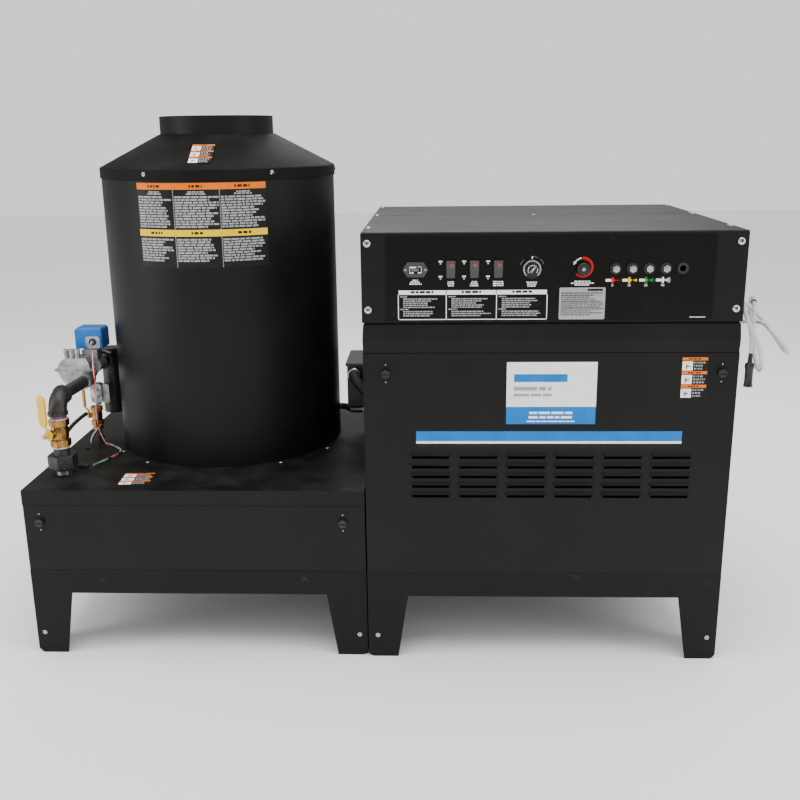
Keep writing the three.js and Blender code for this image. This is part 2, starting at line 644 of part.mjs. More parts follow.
function gasValveBody() {
  const { width, depth, rim, rimLift, bowl, bonnet, shrink, tower, towerPitch, towerHeight,
    towerSet } = gasValve;
  const [x0, x1, y0, y1] = [valveX - width / 2, valveX + width / 2, valveY - depth / 2, valveY + depth / 2];
  const rimTop = up(rimLift) + rim;
  const inset = (share) => [
    valveX - width / 2 * share, valveX + width / 2 * share,
    valveY - depth / 2 * share, valveY + depth / 2 * share];
  const bonnetTop = rimTop + bonnet;
  const towers = [-1, 0, 1].map((place) => {
    const x = valveX + place * towerPitch - tower;
    const y = valveY - depth / 2 + towerSet;
    return rod([x, y, rimTop], [x, y, bonnetTop + towerHeight], tower, facets.tiny);
  });
  const portX = left + outlet.x;
  const bonnetStack = gasValve.bonnetLevels.map(([rise, share]) => [rimTop + bonnet * rise,
    ...inset(share)]);
  const bowlStack = gasValve.bowlLevels.map(([drop, share]) => [up(rimLift) - bowl * drop, ...inset(share)]);
  const columnX = x1 - gasValve.columnWidth / 2;
  const columnY = valveY + gasValve.columnBack / 2;
  return join(
    block(x0 - gasValve.ear, x1 + gasValve.ear, y0, y1, up(rimLift), rimTop),
    stack([...bonnetStack, [bonnetTop, ...inset(shrink)]]),
    stack([[up(rimLift) - bowl, ...inset(shrink * gasValve.bowlFoot)], ...bowlStack]),
    ...towers,
    rod([inletX, valveFront + depth / 3, up(elbow.axis)], [inletX, bossFace, up(elbow.axis)],
      gasValve.boss, facets.medium),
    rod([portX, valveY, up(outlet.lift)], [portX, y1 + gasValve.portLength, up(outlet.lift)],
      gasValve.boss * gasValve.port, facets.small),
    block(columnX - gasValve.columnWidth / 2, portX + gasValve.portCover, columnY - gasValve.columnBack / 2,
      columnY + gasValve.columnBack / 2, up(rimLift), up(gasValve.columnTop)),
  );
}
add('gas_valve_body', gasValveBody(), aluminium);

function gasActuator() {
  const { width, depth, height, bevel } = actuator;
  const x = valveX + actuator.shiftX;
  const y = valveY + actuator.shiftY;
  const z = up(gasValve.columnTop) + touch;
  const edges = (inset) => [x - width / 2 + inset, x + width / 2 - inset, y - depth / 2 + inset,
    y + depth / 2 - inset];
  const plateX = x + width / 2 - conduitPlate.width / 2 - conduitPlate.edge;
  const plateFront = y - depth / 2 - conduitPlate.thickness;
  const half = conduitPlate.width / 2;
  const grommetZ = z + conduitPlate.height * conduitPlate.grommetLift;
  const arch = [
    [plateX - half, z], [plateX + half, z], [plateX + half * conduitPlate.rightShare,
      z + conduitPlate.height],
    [plateX - half * conduitPlate.leftShare, z + conduitPlate.height],
    [plateX - half, z + conduitPlate.height * conduitPlate.shoulder],
  ];
  return join(
    stack([[z, ...edges(0)], [z + height - bevel, ...edges(0)], [z + height, ...edges(bevel)]]),
    slab('y', arch, plateFront, y - depth / 2 + bevel),
    rod([plateX, plateFront + conduitPlate.sink, grommetZ],
      [plateX, plateFront - conduitPlate.proud, grommetZ],
      conduitPlate.grommet, facets.small),
  );
}
add('gas_valve_actuator', gasActuator(), blue);

// From the valve round behind the boiler and down through the deck, with a drip leg at the tee.
function burnerPipe() {
  const x = left + outlet.x;
  const teeY = front + outlet.y;
  const z = up(outlet.lift);
  const drop = [left + outlet.dropX, front + outlet.dropY];
  const start = valveY + gasValve.depth / 2 + gasValve.portLength + touch;
  const end = new THREE.Vector3(drop[0], drop[1], z);
  const way = end.clone().sub(new THREE.Vector3(x, teeY, z)).normalize();
  const bend = outlet.pipe * outlet.bend;
  const flangeY0 = front + outlet.flangeY - outlet.flangeHalf;
  const legEnd = up(outlet.legLow);
  const before = end.clone().addScaledVector(way, -bend);
  const corner = new THREE.QuadraticBezierCurve3(before, end, new THREE.Vector3(...drop, z - bend));
  return join(
    rod([x, start, z], [x, teeY, z], outlet.pipe, facets.small),
    rod([x, flangeY0, z], [x, flangeY0 + outlet.flangeHalf * 2, z], outlet.flange, facets.tiny),
    rod([x, teeY, z - outlet.tee], [x, teeY, z + outlet.tee * outlet.teeTop], outlet.tee, facets.medium),
    rod([x, teeY, legEnd], [x, teeY, z], outlet.leg, facets.medium),
    rod([x, teeY, legEnd - outlet.capUnder], [x, teeY, legEnd + outlet.capOver], outlet.leg + outlet.cap,
      facets.medium),
    rod([x, teeY, z], before.toArray(), outlet.pipe, pipe.sides),
    tube(corner, outlet.pipe * outlet.elbow, facets.small, outlet.bendSteps),
    rod([...drop, z - bend], [...drop, trayBottom + tray.depth / 2], outlet.pipe, pipe.sides),
  );
}
add('burner_gas_pipe', burnerPipe(), blackIron);

// The pilot line: a regulator hung on the drip leg, a small ball valve and a tail through the deck.
function pilotRegulator() {
  const x = left + regulator.x;
  const y = front + regulator.y;
  const half = regulator.width / 2;
  const middle = up((regulator.low + regulator.high) / 2);
  const low = up(regulator.low);
  const { foot, lap, step, round, sideRound, stub, feed } = regulator;
  const cover = roundedRectangle(x - half, x + half, low + foot, up(regulator.high), round);
  const sideY = y + regulator.depth / 2;
  const sideCover = roundedRectangle(
    x + half - lap, x + half + regulator.side, low + step, up(regulator.high) - step, sideRound);
  return join(
    slab('y', cover, y - regulator.depth / 2, sideY),
    slab('y', sideCover, y - regulator.depth / 4, y + regulator.sideDepth - regulator.depth / 2),
    rod([x, y, low - step], [x, y, middle], stub, facets.tiny),
    rod([x + half, y, middle], [x + half, front + outlet.y - outlet.leg - touch, middle], feed, facets.tiny),
  );
}
add('pilot_regulator', pilotRegulator(), aluminium);

const pilotX = left + pilotValve.x;
const pilotY = front + pilotValve.y;
const pilotTail = [
  [pilotX, pilotY, up(pilotValve.low) + 8], [pilotX, pilotY, up(pilotValve.low) - 14],
  [pilotX - 3, pilotY + 20, up(pilotValve.low) - 32], [...pilotDrop, up(2)], [...pilotDrop, up(-30)],
];
add('pilot_ball_valve', join(
  ballValve(pilotValve, pilotX, pilotY, [-1, 0]),
  hexagon(pilotValve.hex * pilotValve.unionFlat, up(pilotValve.low - pilotValve.unionUnder),
    up(pilotValve.low + pilotValve.unionOver), [pilotX, pilotY, 0]),
  tube(pilotTail, pilotValve.tail, facets.tiny, 6),
), brass);
add('pilot_valve_lever', valveLever(pilotLever, pilotValve, pilotX, pilotY, [-1, 0]), yellow);

// The actuator's leads hang to the deck and loop back to the end of the loom.
const gland = [
  valveX + actuator.shiftX + actuator.width / 2 - conduitPlate.width / 2 - conduitPlate.edge,
  valveY + actuator.shiftY - actuator.depth / 2 - conduitPlate.thickness - conduitPlate.proud - touch,
  up(gasValve.columnTop) + touch + conduitPlate.height * conduitPlate.grommetLift,
];
const loopZ = up(leads.radius + 1);
add('valve_leads', tube([
  gland, [gland[0], gland[1] - 6, gland[2]], [gland[0] + 4, gland[1] - 20, gland[2] - 10], [left + 98,
    front + 322, up(272)],
  [left + 106, front + 303, up(240)], [left + 108, front + 297, up(200)], [left + 104, front + 301, up(150)],
  [left + 97, front + 317, up(98)], [left + 93, front + 338, up(46)], [left + 103, front + 350, loopZ + 8],
  [left + 134, front + 342, loopZ], [left + 158, front + 314, loopZ], [left + 162, front + 280, loopZ],
  [left + 148, front + 240, loopZ], [left + 133, front + 205, loopZ], [left + 121, front + 178, loopZ],
], leads.radius, leads.sides, leads.steps), red);

const loomZ = up(loom.radius + 1);
add('deck_conduit', tube([
  [left + 117, front + 168, loomZ], [left + 96, front + 176, loomZ], [left + 62, front + 196, loomZ + 2],
  [left + 30, front + 206, loomZ + 16], [left + 22, front + 226, loomZ + 42], [left + 28, front + 280,
    loomZ + 66],
  [left + 38, front + 340, loomZ + 80], [left + 44, front + 380, loomZ + 84],
], loom.radius, loom.sides, loom.steps), rubber);

// ---------------------------------------------------------------- pump cabinet
const pumpLatches = [
  [pumpLeft + latchPlace.pumpLeft, headerBottom - latchPlace.pumpDrop],
  [right - latchPlace.pumpRight, headerBottom - latchPlace.pumpDrop],
];
const sideLatchAt = [front + sideLatch.back, headerBottom - sideLatch.drop];
const pumpFlangeY = front + pan.depth + touch;
const sideTop = headerBottom - touch;
const panTop = sideTop - touch;
const vinylExit = [front + vinyl.y, boxBottom - vinyl.drop];
const suctionHole = [front + suction.y, stand.height + suction.lift];
const pressureHole = [front + pressure.y, stand.height + pressure.lift];

// A cabinet side: a sheet with its front and rear edges folded inward.
function cabinetSide(outer, inward) {
  const rearY = back - sheet - touch;
  const at = (reach) => outer + inward * reach;
  return slab('z', [
    [outer, pumpFlangeY], [at(pan.flange), pumpFlangeY], [at(pan.flange), pumpFlangeY + sheet],
    [at(sheet), pumpFlangeY + sheet], [at(sheet), rearY - sheet], [at(pan.rearFlange), rearY - sheet],
    [at(pan.rearFlange), rearY], [outer, rearY],
  ], seat, sideTop);
}

function throughX(x, [y, z], radius, sides = facets.tiny) {
  return rod([x - sheet * 2, y, z], [x + sheet * 2, y, z], radius, sides);
}

add('cabinet_left_side', cut(
  cabinetSide(pumpLeft, 1), latchSlot(...pumpLatches[0], pumpFlangeY),
  throughX(pumpLeft, suctionHole, suction.radius + hoseClear), throughX(pumpLeft, pressureHole,
    pressure.radius + hoseClear),
), powderCoat);
add('cabinet_right_side', cut(
  cabinetSide(right, -1), latchSlot(...pumpLatches[1], pumpFlangeY),
  throughX(right, sideLatchAt, latch.shaft + running),
), powderCoat);

const portZ = stand.height + rearPort.lift;
const rearPan = cut(
  block(pumpLeft, right, back - sheet, back, seat, sideTop),
  ...rearPort.fromRight.map((inset) => rod(
    [right - inset, back - sheet * 2, portZ], [right - inset, back + sheet,
      portZ], rearPort.radius, facets.small)),
);
add('cabinet_rear_panel', rearPan, powderCoat);

// The header: a band that leans in above its crease and carries the control box.
function cabinetHeader() {
  const { foot, creaseDepth, shoulder, shoulderIn, topIn, innerTop } = headerShape;
  const crease = headerBottom + pump.crease;
  const top = boxBottom - touch;
  const edges = (inset) => [pumpLeft + inset, right - inset, front + inset, back - inset];
  const outer = stack([
    [headerBottom, ...edges(foot)], [crease - creaseDepth, ...edges(0)], [crease, ...edges(0)],
    [top - shoulder, ...edges(shoulderIn)], [top, ...edges(topIn)],
  ]);
  const inner = stack([
    [headerBottom + sheet, ...edges(foot + sheet)], [crease, ...edges(foot + sheet)],
    [top - shoulder, ...edges(foot + shoulderIn + sheet)], [top + foot, ...edges(innerTop + sheet)],
  ]);
  const mouth = block(...edges(pan.rearFlange), headerBottom - sheet, headerBottom + sheet * 2);
  const hoseGland = rod(
    [right - sheet, ...vinylExit], [right + vinyl.glandLength, ...vinylExit], vinyl.gland, facets.tiny);
  return join(cut(outer, inner, mouth), hoseGland);
}
add('cabinet_header', cabinetHeader(), powderCoat);

// ---------------------------------------------------------------- louvred front panel
function frontPanel() {
  const x0 = pumpLeft + louvre.left;
  const x1 = right - louvre.right;
  const width = (x1 - x0 - louvre.gap * (louvre.columns - 1)) / louvre.columns;
  const slots = [];
  const hoods = [];
  for (let column = 0; column < louvre.columns; column += 1) {
    const a = x0 + column * (width + louvre.gap);
    const b = a + width;
    for (let row = 0; row < louvre.rows; row += 1) {
      const top = headerBottom - louvre.top - row * louvre.pitch;
      const low = top - louvre.hood;
      slots.push(block(a + louvre.end, b - louvre.end, front - sheet, front + sheet * 2,
        low - louvre.slot, low));
      hoods.push(stack([
        [low, a, b, front - louvre.lip, front + sheet / 2],
        [top, a + louvre.end, b - louvre.end, front - sheet / 4, front + sheet / 2],
      ]));
    }
  }
  const body = frontPan(pumpLeft + touch, right - touch, front, seat, panTop, pumpLatches);
  return cut(join(body, ...hoods), ...slots);
}
add('front_panel', frontPanel(), powderCoat);
add('panel_latch_left', makeLatch(pumpLatches[0][0], front, pumpLatches[0][1]), blackPlastic);
add('panel_latch_right', makeLatch(pumpLatches[1][0], front, pumpLatches[1][1]), blackPlastic);

// The same latch on the right side, turned to face +X.
function sideLatchSolid() {
  const [y, z] = sideLatchAt;
  const inside = right - sheet - touch - latch.wingDepth;
  const outside = right + touch + latch.knobDepth;
  const knob = rod([right + touch, y, z], [outside, y, z], latch.knob, facets.medium,
    latch.knob - latch.draft);
  const slot = block(outside - latch.slotDepth, outside + sheet, y - latch.knob * 2, y + latch.knob * 2,
    z - latch.slot / 2, z + latch.slot / 2);
  const halfWing = latch.wingLength / 2;
  return join(
    cut(knob, slot),
    rod([inside, y, z], [right + touch * 2, y, z], latch.shaft, facets.tiny),
    block(inside, inside + latch.wingDepth, y - halfWing, y + halfWing, z - latch.wing / 2,
      z + latch.wing / 2),
  );
}
add('side_latch_right', sideLatchSolid(), blackPlastic);

// ---------------------------------------------------------------- control box
const faceLeft = pumpLeft + face.left;
const faceRight = right - face.right;
const faceAt = (share) => faceLeft + (faceRight - faceLeft) * share;
const controlZ = boxBottom + controlLift;
const nozzleX = (i) => faceAt(across.nozzles) + (i - (holder.count - 1) / 2) * holder.pitch;
const faceFront = front - touch - face.thickness;

const through = (x, z, radius, sides = facets.small) => rod(
  [x, faceFront - sheet, z], [x, front + sheet * 2, z], radius, sides);
const window = (x, z, width, height) => block(
  x - width / 2, x + width / 2, faceFront - sheet, front + sheet * 2, z - height / 2, z + height / 2);

function controlHoles() {
  const holes = [
    window(faceAt(across.meter), controlZ, meter.bodyWidth + running, meter.bodyHeight + running),
    through(faceAt(across.dial), controlZ, dial.shaft + running),
    through(faceAt(across.valve), controlZ, valveKnob.shaft + running),
  ];
  for (const share of across.rockers) {
    holes.push(window(faceAt(share), controlZ, bezel.width - bezel.wall * 2, bezel.height - bezel.wall * 2));
  }
  for (let i = 0; i < holder.count; i += 1) {
    holes.push(through(nozzleX(i), controlZ, holder.neck + touch));
  }
  return holes;
}

function controlBox() {
  const z0 = boxBottom;
  const body = cut(
    block(pumpLeft, right, front, back, z0, lidBottom),
    block(pumpLeft + sheet, right - sheet, front + sheet, back - sheet, z0 + sheet, lidBottom + sheet),
  );
  const flanges = cut(
    block(pumpLeft + 1, right - 1, front + 1, back - 1, lidBottom - sheet, lidBottom),
    block(pumpLeft + boxFlange, right - boxFlange, front + boxFlange, back - boxFlange,
      lidBottom - sheet * 2, boxTop),
  );
  const mouth = block(pumpLeft + boxMouth.side, right - boxMouth.side, front + boxMouth.end,
    back - boxMouth.end,
    z0 - sheet, z0 + sheet * 2);
  return cut(join(body, flanges), mouth, ...controlHoles());
}
add('control_box', controlBox(), powderCoat);

function controlPanel() {
  const plateShape = roundedRectangle(faceLeft, faceRight, boxBottom + face.margin,
    lidBottom - face.margin, face.corner);
  const plate = cut(slab('y', plateShape, faceFront, faceFront + face.thickness), ...controlHoles());
  const bezels = across.rockers.map((share) => {
    const x = faceAt(share);
    const y0 = faceFront - bezel.proud;
    const outer = block(x - bezel.width / 2, x + bezel.width / 2, y0, faceFront + face.thickness / 2,
      controlZ - bezel.height / 2, controlZ + bezel.height / 2);
    return cut(outer, window(x, controlZ, bezel.width - bezel.wall * 2, bezel.height - bezel.wall * 2)
      .translate([0, -bezel.proud, 0]));
  });
  return join(plate, ...bezels);
}
add('control_panel', controlPanel(), gloss);

// The lids meet at a seam across the box; each has its outer edges folded down over the box.
function makeLid(y0, y1) {
  return stack([
    [lidBottom + touch, pumpLeft, right, y0, y1],
    [boxTop - lid.rise, pumpLeft, right, y0, y1],
    [boxTop, pumpLeft + lid.rise, right - lid.rise, y0 + lid.rise, y1 - lid.rise],
  ]);
}
const seam = front + lid.split;
add('box_lid_front', makeLid(front, seam - lid.seam / 2), powderCoat);
add('box_lid_rear', makeLid(seam + lid.seam / 2, back), powderCoat);

function hourMeter() {
  const x = faceAt(across.meter);
  const flat = meter.flat / 2;
  const wide = meter.width / 2;
  const high = meter.height / 2;
  const shape = [
    [x - wide, controlZ], [x - flat, controlZ - high], [x + flat, controlZ - high],
    [x + wide, controlZ], [x + flat, controlZ + high], [x - flat, controlZ + high],
  ];
  const bodyX = meter.bodyWidth / 2;
  const bodyZ = meter.bodyHeight / 2;
  const y0 = faceFront - touch - meter.proud;
  return join(
    slab('y', shape, y0, faceFront - touch),
    block(x - bodyX, x + bodyX, faceFront - touch * 2, faceFront + meter.body, controlZ - bodyZ,
      controlZ + bodyZ),
  );
}
add('hour_meter', hourMeter(), blackPlastic);

// A rocker, pivoted level with the control plate and resting with its upper half out.
function rockerSolid(x) {
  const { depth, belly, keel } = rocker;
  const half = bezel.height / 2 - bezel.wall - rocker.gap;
  const wide = bezel.width / 2 - bezel.wall - running;
  const shape = [
    [-depth, -half], [depth, -half], [depth + keel, 0], [depth, half], [-depth, half], [-belly, 0],
  ];
  return slab('x', shape, -wide, wide).rotate([rocker.tilt, 0, 0]).translate([x, faceFront, controlZ]);
}
['burner_switch', 'pump_switch', 'power_switch'].forEach((name, i) => {
  add(name, rockerSolid(faceAt(across.rockers[i])), blackPlastic);
});

// A profile of [radius, how far out] turned about the axis of a control on the plate.
function turnedFront(x, profile, sides) {
  return turned(profile, sides).rotate([90, 0, 0]).translate([x, faceFront - touch, controlZ]);
}
add('thermostat_knob', turnedFront(faceAt(across.dial), [
  [0, -dial.reach], [dial.shaft, -dial.reach], [dial.shaft, 0], [dial.skirt, 0],
  [dial.skirt, dial.skirtDepth - dial.edge], [dial.skirt - dial.edge, dial.skirtDepth],
  [dial.grip, dial.skirtDepth], [dial.grip - dial.edge, dial.depth - dial.edge],
  [dial.grip - dial.edge * 2, dial.depth], [0, dial.depth],
], facets.large), blackPlastic);
add('metering_knob', turnedFront(faceAt(across.valve), [
  [0, -valveKnob.reach], [valveKnob.shaft, -valveKnob.reach], [valveKnob.shaft, 0], [valveKnob.radius, 0],
  [valveKnob.radius, valveKnob.depth - valveKnob.edge], [valveKnob.radius - valveKnob.edge, valveKnob.depth],
  [0, valveKnob.depth],
], facets.medium), blackPlastic);

// Five rubber nozzle holders on one strip behind the box face.
function nozzleHolders() {
  const y0 = faceFront - touch - holder.proud;
  const stripY = front + sheet + touch;
  const barrels = [];
  const bores = [];
  for (let i = 0; i < holder.count; i += 1) {
    const x = nozzleX(i);
    barrels.push(rod([x, y0, controlZ], [x, faceFront - touch, controlZ], holder.outer, facets.small,
      holder.outer - holder.draft));
    barrels.push(rod([x, faceFront - touch * 2, controlZ], [x, stripY + holder.barrel, controlZ],
      holder.neck, facets.small));
    bores.push(rod([x, y0 - 1, controlZ], [x, stripY + holder.barrel + 1, controlZ], holder.bore,
      facets.tiny));
  }
  const reach = holder.outer + holder.stripOver;
  const strip = block(nozzleX(0) - reach, nozzleX(holder.count - 1) + reach, stripY, stripY + holder.strip,
    controlZ - holder.stripHeight / 2, controlZ + holder.stripHeight / 2);
  return cut(join(strip, ...barrels), ...bores);
}
add('nozzle_holders', nozzleHolders(), rubber);

// A quick-fit spray nozzle: a plug in the holder, a hexagonal head and a tip.
function sprayNozzle(x) {
  const y = faceFront - touch - holder.proud - touch;
  return join(
    rod([x, y + nozzle.inside, controlZ], [x, y - 1, controlZ], nozzle.stem, facets.tiny),
    rod([x, y, controlZ], [x, y - nozzle.headDepth, controlZ], nozzle.head, 6),
    rod([x, y - nozzle.headDepth + 1, controlZ], [x, y - nozzle.headDepth - nozzle.tipDepth, controlZ],
      nozzle.tip, facets.tiny),
  );
}
['nozzle_0_degree', 'nozzle_15_degree', 'nozzle_25_degree', 'nozzle_40_degree'].forEach((name, i) => {
  add(name, sprayNozzle(nozzleX(i)), steel);
});

// ---------------------------------------------------------------- motor, belt and pump
const beltY = front + belt.front;
const motorX = pumpLeft + motor.x;
const motorY = front + motor.y;
const motorZ = seat + motor.foot + motor.radius;
const pumpX = pumpLeft + pumpHead.x;
const pumpY = front + pumpHead.y;
const pumpZ = seat + pumpHead.foot + pumpHead.height / 2;

function motorBody() {
  const { radius, bell, bellShare, baseInset, saddle, saddleInset } = motor;
  const y0 = motorY - motor.length / 2;
  const y1 = motorY + motor.length / 2;
  const half = motor.base / 2;
  const boxX = motorX - motor.radius;
  return cut(join(
    rod([motorX, y0 + bell, motorZ], [motorX, y1 - bell, motorZ], radius, facets.large),
    rod([motorX, y0 + bell, motorZ], [motorX, y0, motorZ], radius, facets.large, radius * bellShare),
    rod([motorX, y1 - bell, motorZ], [motorX, y1, motorZ], radius, facets.large, radius * bellShare),
    block(motorX - half, motorX + half, y0 + baseInset, y1 - baseInset, seat, seat + motor.foot),
    block(motorX - half * saddle, motorX + half * saddle, y0 + saddleInset, y1 - saddleInset,
      seat + motor.foot / 2, motorZ),
    block(boxX - motor.boxSize / 3, boxX + motor.boxSink, motorY - motor.boxSize / 2,
      motorY + motor.boxSize / 2,
      motorZ - motor.boxSize / 2, motorZ + motor.boxSize / 2),
  ), rod([motorX, y0 - 1, motorZ], [motorX, y0 + motor.nose + shaftGap,
    motorZ], motor.shaft + running, facets.medium));
}
add('motor', motorBody(), motorPaint);

// A grooved pulley with its shaft running back into the machine it belongs to.
function pulley(x, z, radius, shaft, shaftBack) {
  const half = belt.width / 2 + running;
  const outer = half + belt.rim;
  const rim = radius + belt.thickness - belt.sunk;
  const floor = radius - belt.groove;
  const wheel = turned([
    [0, -outer], [rim, -outer], [rim, -half], [floor, -half], [floor, half], [rim, half], [rim,
      outer], [0, outer],
  ], facets.large).rotate([90, 0, 0]).translate([x, beltY, z]);
  return join(
    wheel,
    rod([x, beltY - outer - belt.hubOver, z], [x, beltY + outer + belt.hubOver, z], belt.hub, facets.small),
    rod([x, beltY, z], [x, shaftBack, z], shaft, facets.small),
  );
}
add('motor_pulley', pulley(motorX, motorZ, belt.driver, motor.shaft,
  motorY - motor.length / 2 + motor.nose), blackIron);

function pumpBody() {
  const { width, depth, height, head, cap, capPitch, capUnder, capOver, headInset } = pumpHead;
  const { rail, railOver, railInset, seal, sealDepth } = pumpHead;
  const y0 = pumpY - depth / 2;
  const y1 = pumpY + depth / 2;
  const top = pumpZ + height / 2;
  const caps = [-1, 0, 1].map((place) => {
    const x = pumpX + place * width * capPitch;
    return rod([x, y1 + head / 2, top - capUnder], [x, y1 + head / 2, top + capOver], cap, 6);
  });
  const rails = [pumpX - width / 2 - railOver, pumpX + width / 2 + railOver - rail].map((x) => block(
    x, x + rail, y0 + railInset, y1 - railInset, seat, pumpZ - height / 2 + 1));
  return cut(join(
    block(pumpX - width / 2, pumpX + width / 2, y0, y1, pumpZ - height / 2, top),
    block(pumpX - width / 2 + headInset, pumpX + width / 2 - headInset, y1 - 1, y1 + head,
      pumpZ - height / 3, top - headInset),
    rod([pumpX, y0 + 1, pumpZ], [pumpX, y0 - sealDepth, pumpZ], pumpHead.shaft * seal, facets.small),
    ...rails,
    ...caps,
  ), rod([pumpX, y0 - sealDepth * 2, pumpZ], [pumpX, y0 + pumpHead.nose + shaftGap, pumpZ],
    pumpHead.shaft + running, facets.medium));
}
add('pump', pumpBody(), aluminium);
add('pump_pulley', pulley(pumpX, pumpZ, belt.driven, pumpHead.shaft,
  pumpY - pumpHead.depth / 2 + pumpHead.nose), blackIron);

// The belt's outline round both pulleys: two arcs joined by their outer tangents.
function beltOutline(extra) {
  const small = belt.driver + extra;
  const large = belt.driven + extra;
  const distance = Math.hypot(pumpX - motorX, pumpZ - motorZ);
  const tilt = Math.atan2(pumpZ - motorZ, pumpX - motorX);
  const reach = Math.acos((small - large) / distance);
  const shape = new THREE.Shape();
  shape.absarc(pumpX, pumpZ, large, tilt - reach, tilt + reach, false);
  shape.absarc(motorX, motorZ, small, tilt + reach, tilt - reach + Math.PI * 2, false);
  return new THREE.Shape(shape.getPoints(10).slice(0, -1));
}
function beltSolid() {
  const y0 = beltY - belt.width / 2;
  const y1 = beltY + belt.width / 2;
  return cut(slab('y', beltOutline(belt.thickness), y0, y1), slab('y', beltOutline(0), y0 - 1, y1 + 1));
}
add('drive_belt', beltSolid(), rubber);

// ---------------------------------------------------------------- water side
const tankRight = pumpLeft - touch;
const tankLeft = tankRight - tank.width;
const tankFront = front + tank.y;
const tankZ = stand.height + tank.lift;
const tankTop = tankZ + tank.height;
const suctionX = tankLeft + suction.radius + tank.clear;
const suctionZ = tankTop - suction.radius - tank.clear;

function floatTank() {
  const { depth, wall, lid: lidDepth, lidOver } = tank;
  const body = join(
    block(tankLeft, tankRight, tankFront, tankFront + depth, tankZ, tankTop),
    block(tankLeft - lidOver, tankRight, tankFront - lidOver, tankFront + depth + lidOver, tankTop,
      tankTop + lidDepth),
  );
  const inside = block(tankLeft + wall, tankRight - wall, tankFront + wall, tankFront + depth - wall,
    tankZ + wall, tankTop - wall);
  return cut(body, inside, rod([suctionX, tankFront - 1, suctionZ],
    [suctionX, tankFront + wall * 2, suctionZ],
    suction.radius / 2, facets.tiny));
}
add('float_tank', floatTank(), blackPlastic);

const intoCabinet = (inside, [y, z]) => [[pumpLeft - 10, y, z], [pumpLeft + 6, y, z],
  [pumpLeft + inside, y, z]];
add('suction_hose', tube([
  [suctionX, tankFront - touch, suctionZ], [suctionX, tankFront - 22, suctionZ],
  [suctionX + 10, suctionHole[0] + 12, (suctionZ + suctionHole[1]) / 2 + 12],
  ...intoCabinet(suction.inside, suctionHole),
], suction.radius, suction.sides, 10), rubber);

const shellSide = boilerX + boiler.radius + 1;
function pressureHose() {
  const [y, z] = pressureHole;
  const crimp = shellSide + pressure.crimpFrom;
  const hexStart = crimp + pressure.ferruleLength;
  return join(
    tube([[shellSide, boilerY, z], [shellSide + 18, boilerY, z], [crimp, y, z],
      ...intoCabinet(pressure.inside, pressureHole)],
      pressure.radius, pressure.sides, 8),
    rod([crimp, y, z], [hexStart, y, z], pressure.ferrule, facets.small),
    rod([hexStart, y, z], [hexStart + pressure.hexLength, y, z], pressure.hex, 6),
  );
}
add('pressure_hose', pressureHose(), rubber);

// The detergent hose: out of the header, twice round in a tied bundle, and down to its strainer.
// Each point is [out from the cabinet's side, back from the gland, above the gland].
const vinylRoute = [
  [vinyl.glandLength + touch, 0, 0], [21, 0, 0], [39, -3, 1], [54, -15, 3], [64, -34, 5], [69, -58, 4],
  [74, -82, -4], [84, -101, -19], [100, -107, -37], [114, -95, -54], [121, -68, -61], [118, -41, -52],
  [106, -22, -30], [86, -14, -4], [60, -16, 24], [36, -30, 45], [17, -56, 52], [12, -86, 38], [17, -112, 12],
  [32, -127, -26], [46, -120, -66], [56, -94, -96], [62, -58, -104], [64, -22, -84], [62, 4, -46],
  [57, 12, -2], [49, -2, 40], [41, -36, 63], [34, -72, 60], [29, -97, 32], [26, -104, -2], [26, -105, -28],
  [26, -105, -44], [26, -105, -55],
];
const vinylPoints = vinylRoute.map(([out, y, rise]) => [right + out, vinylExit[0] + y, vinylExit[1] + rise]);
add('detergent_hose', tube(vinylPoints, vinyl.radius, vinyl.sides, vinyl.steps), vinylClear);

function strainerSolid() {
  const [x, y, end] = vinylPoints.at(-1);
  const top = end - touch;
  const shoulder = top - strainer.barbLength;
  return turned([
    [0, top], [strainer.barb, top], [strainer.barb + 1, shoulder], [strainer.shoulder, shoulder - 4],
    [strainer.shoulder, shoulder - 12], [strainer.body, shoulder - 16],
    [strainer.body, shoulder - strainer.length + 8], [strainer.flare, shoulder - strainer.length + 2],
    [strainer.flare - 1, shoulder - strainer.length], [0, shoulder - strainer.length],
  ], facets.small, [x, y, 0]);
}
add('detergent_strainer', strainerSolid(), blackPlastic);

export default machine;
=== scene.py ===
# %% [markdown]
# # A stationary hot-water pressure washer
# The real machine is two sheet-metal cabinets on legs: a gas-fired water heater on the left, with a
# round boiler on its deck, and a pump cabinet on the right, with a control box on top. The packed
# model gives every size and joint. This script gives the looks: rolled edges, screws, printed marks,
# castings, hoses and paint. The frame is loaded first.

# %% Load the frame
import json
import math
import random

import bmesh
import bpy
from mathutils import Matrix, Vector


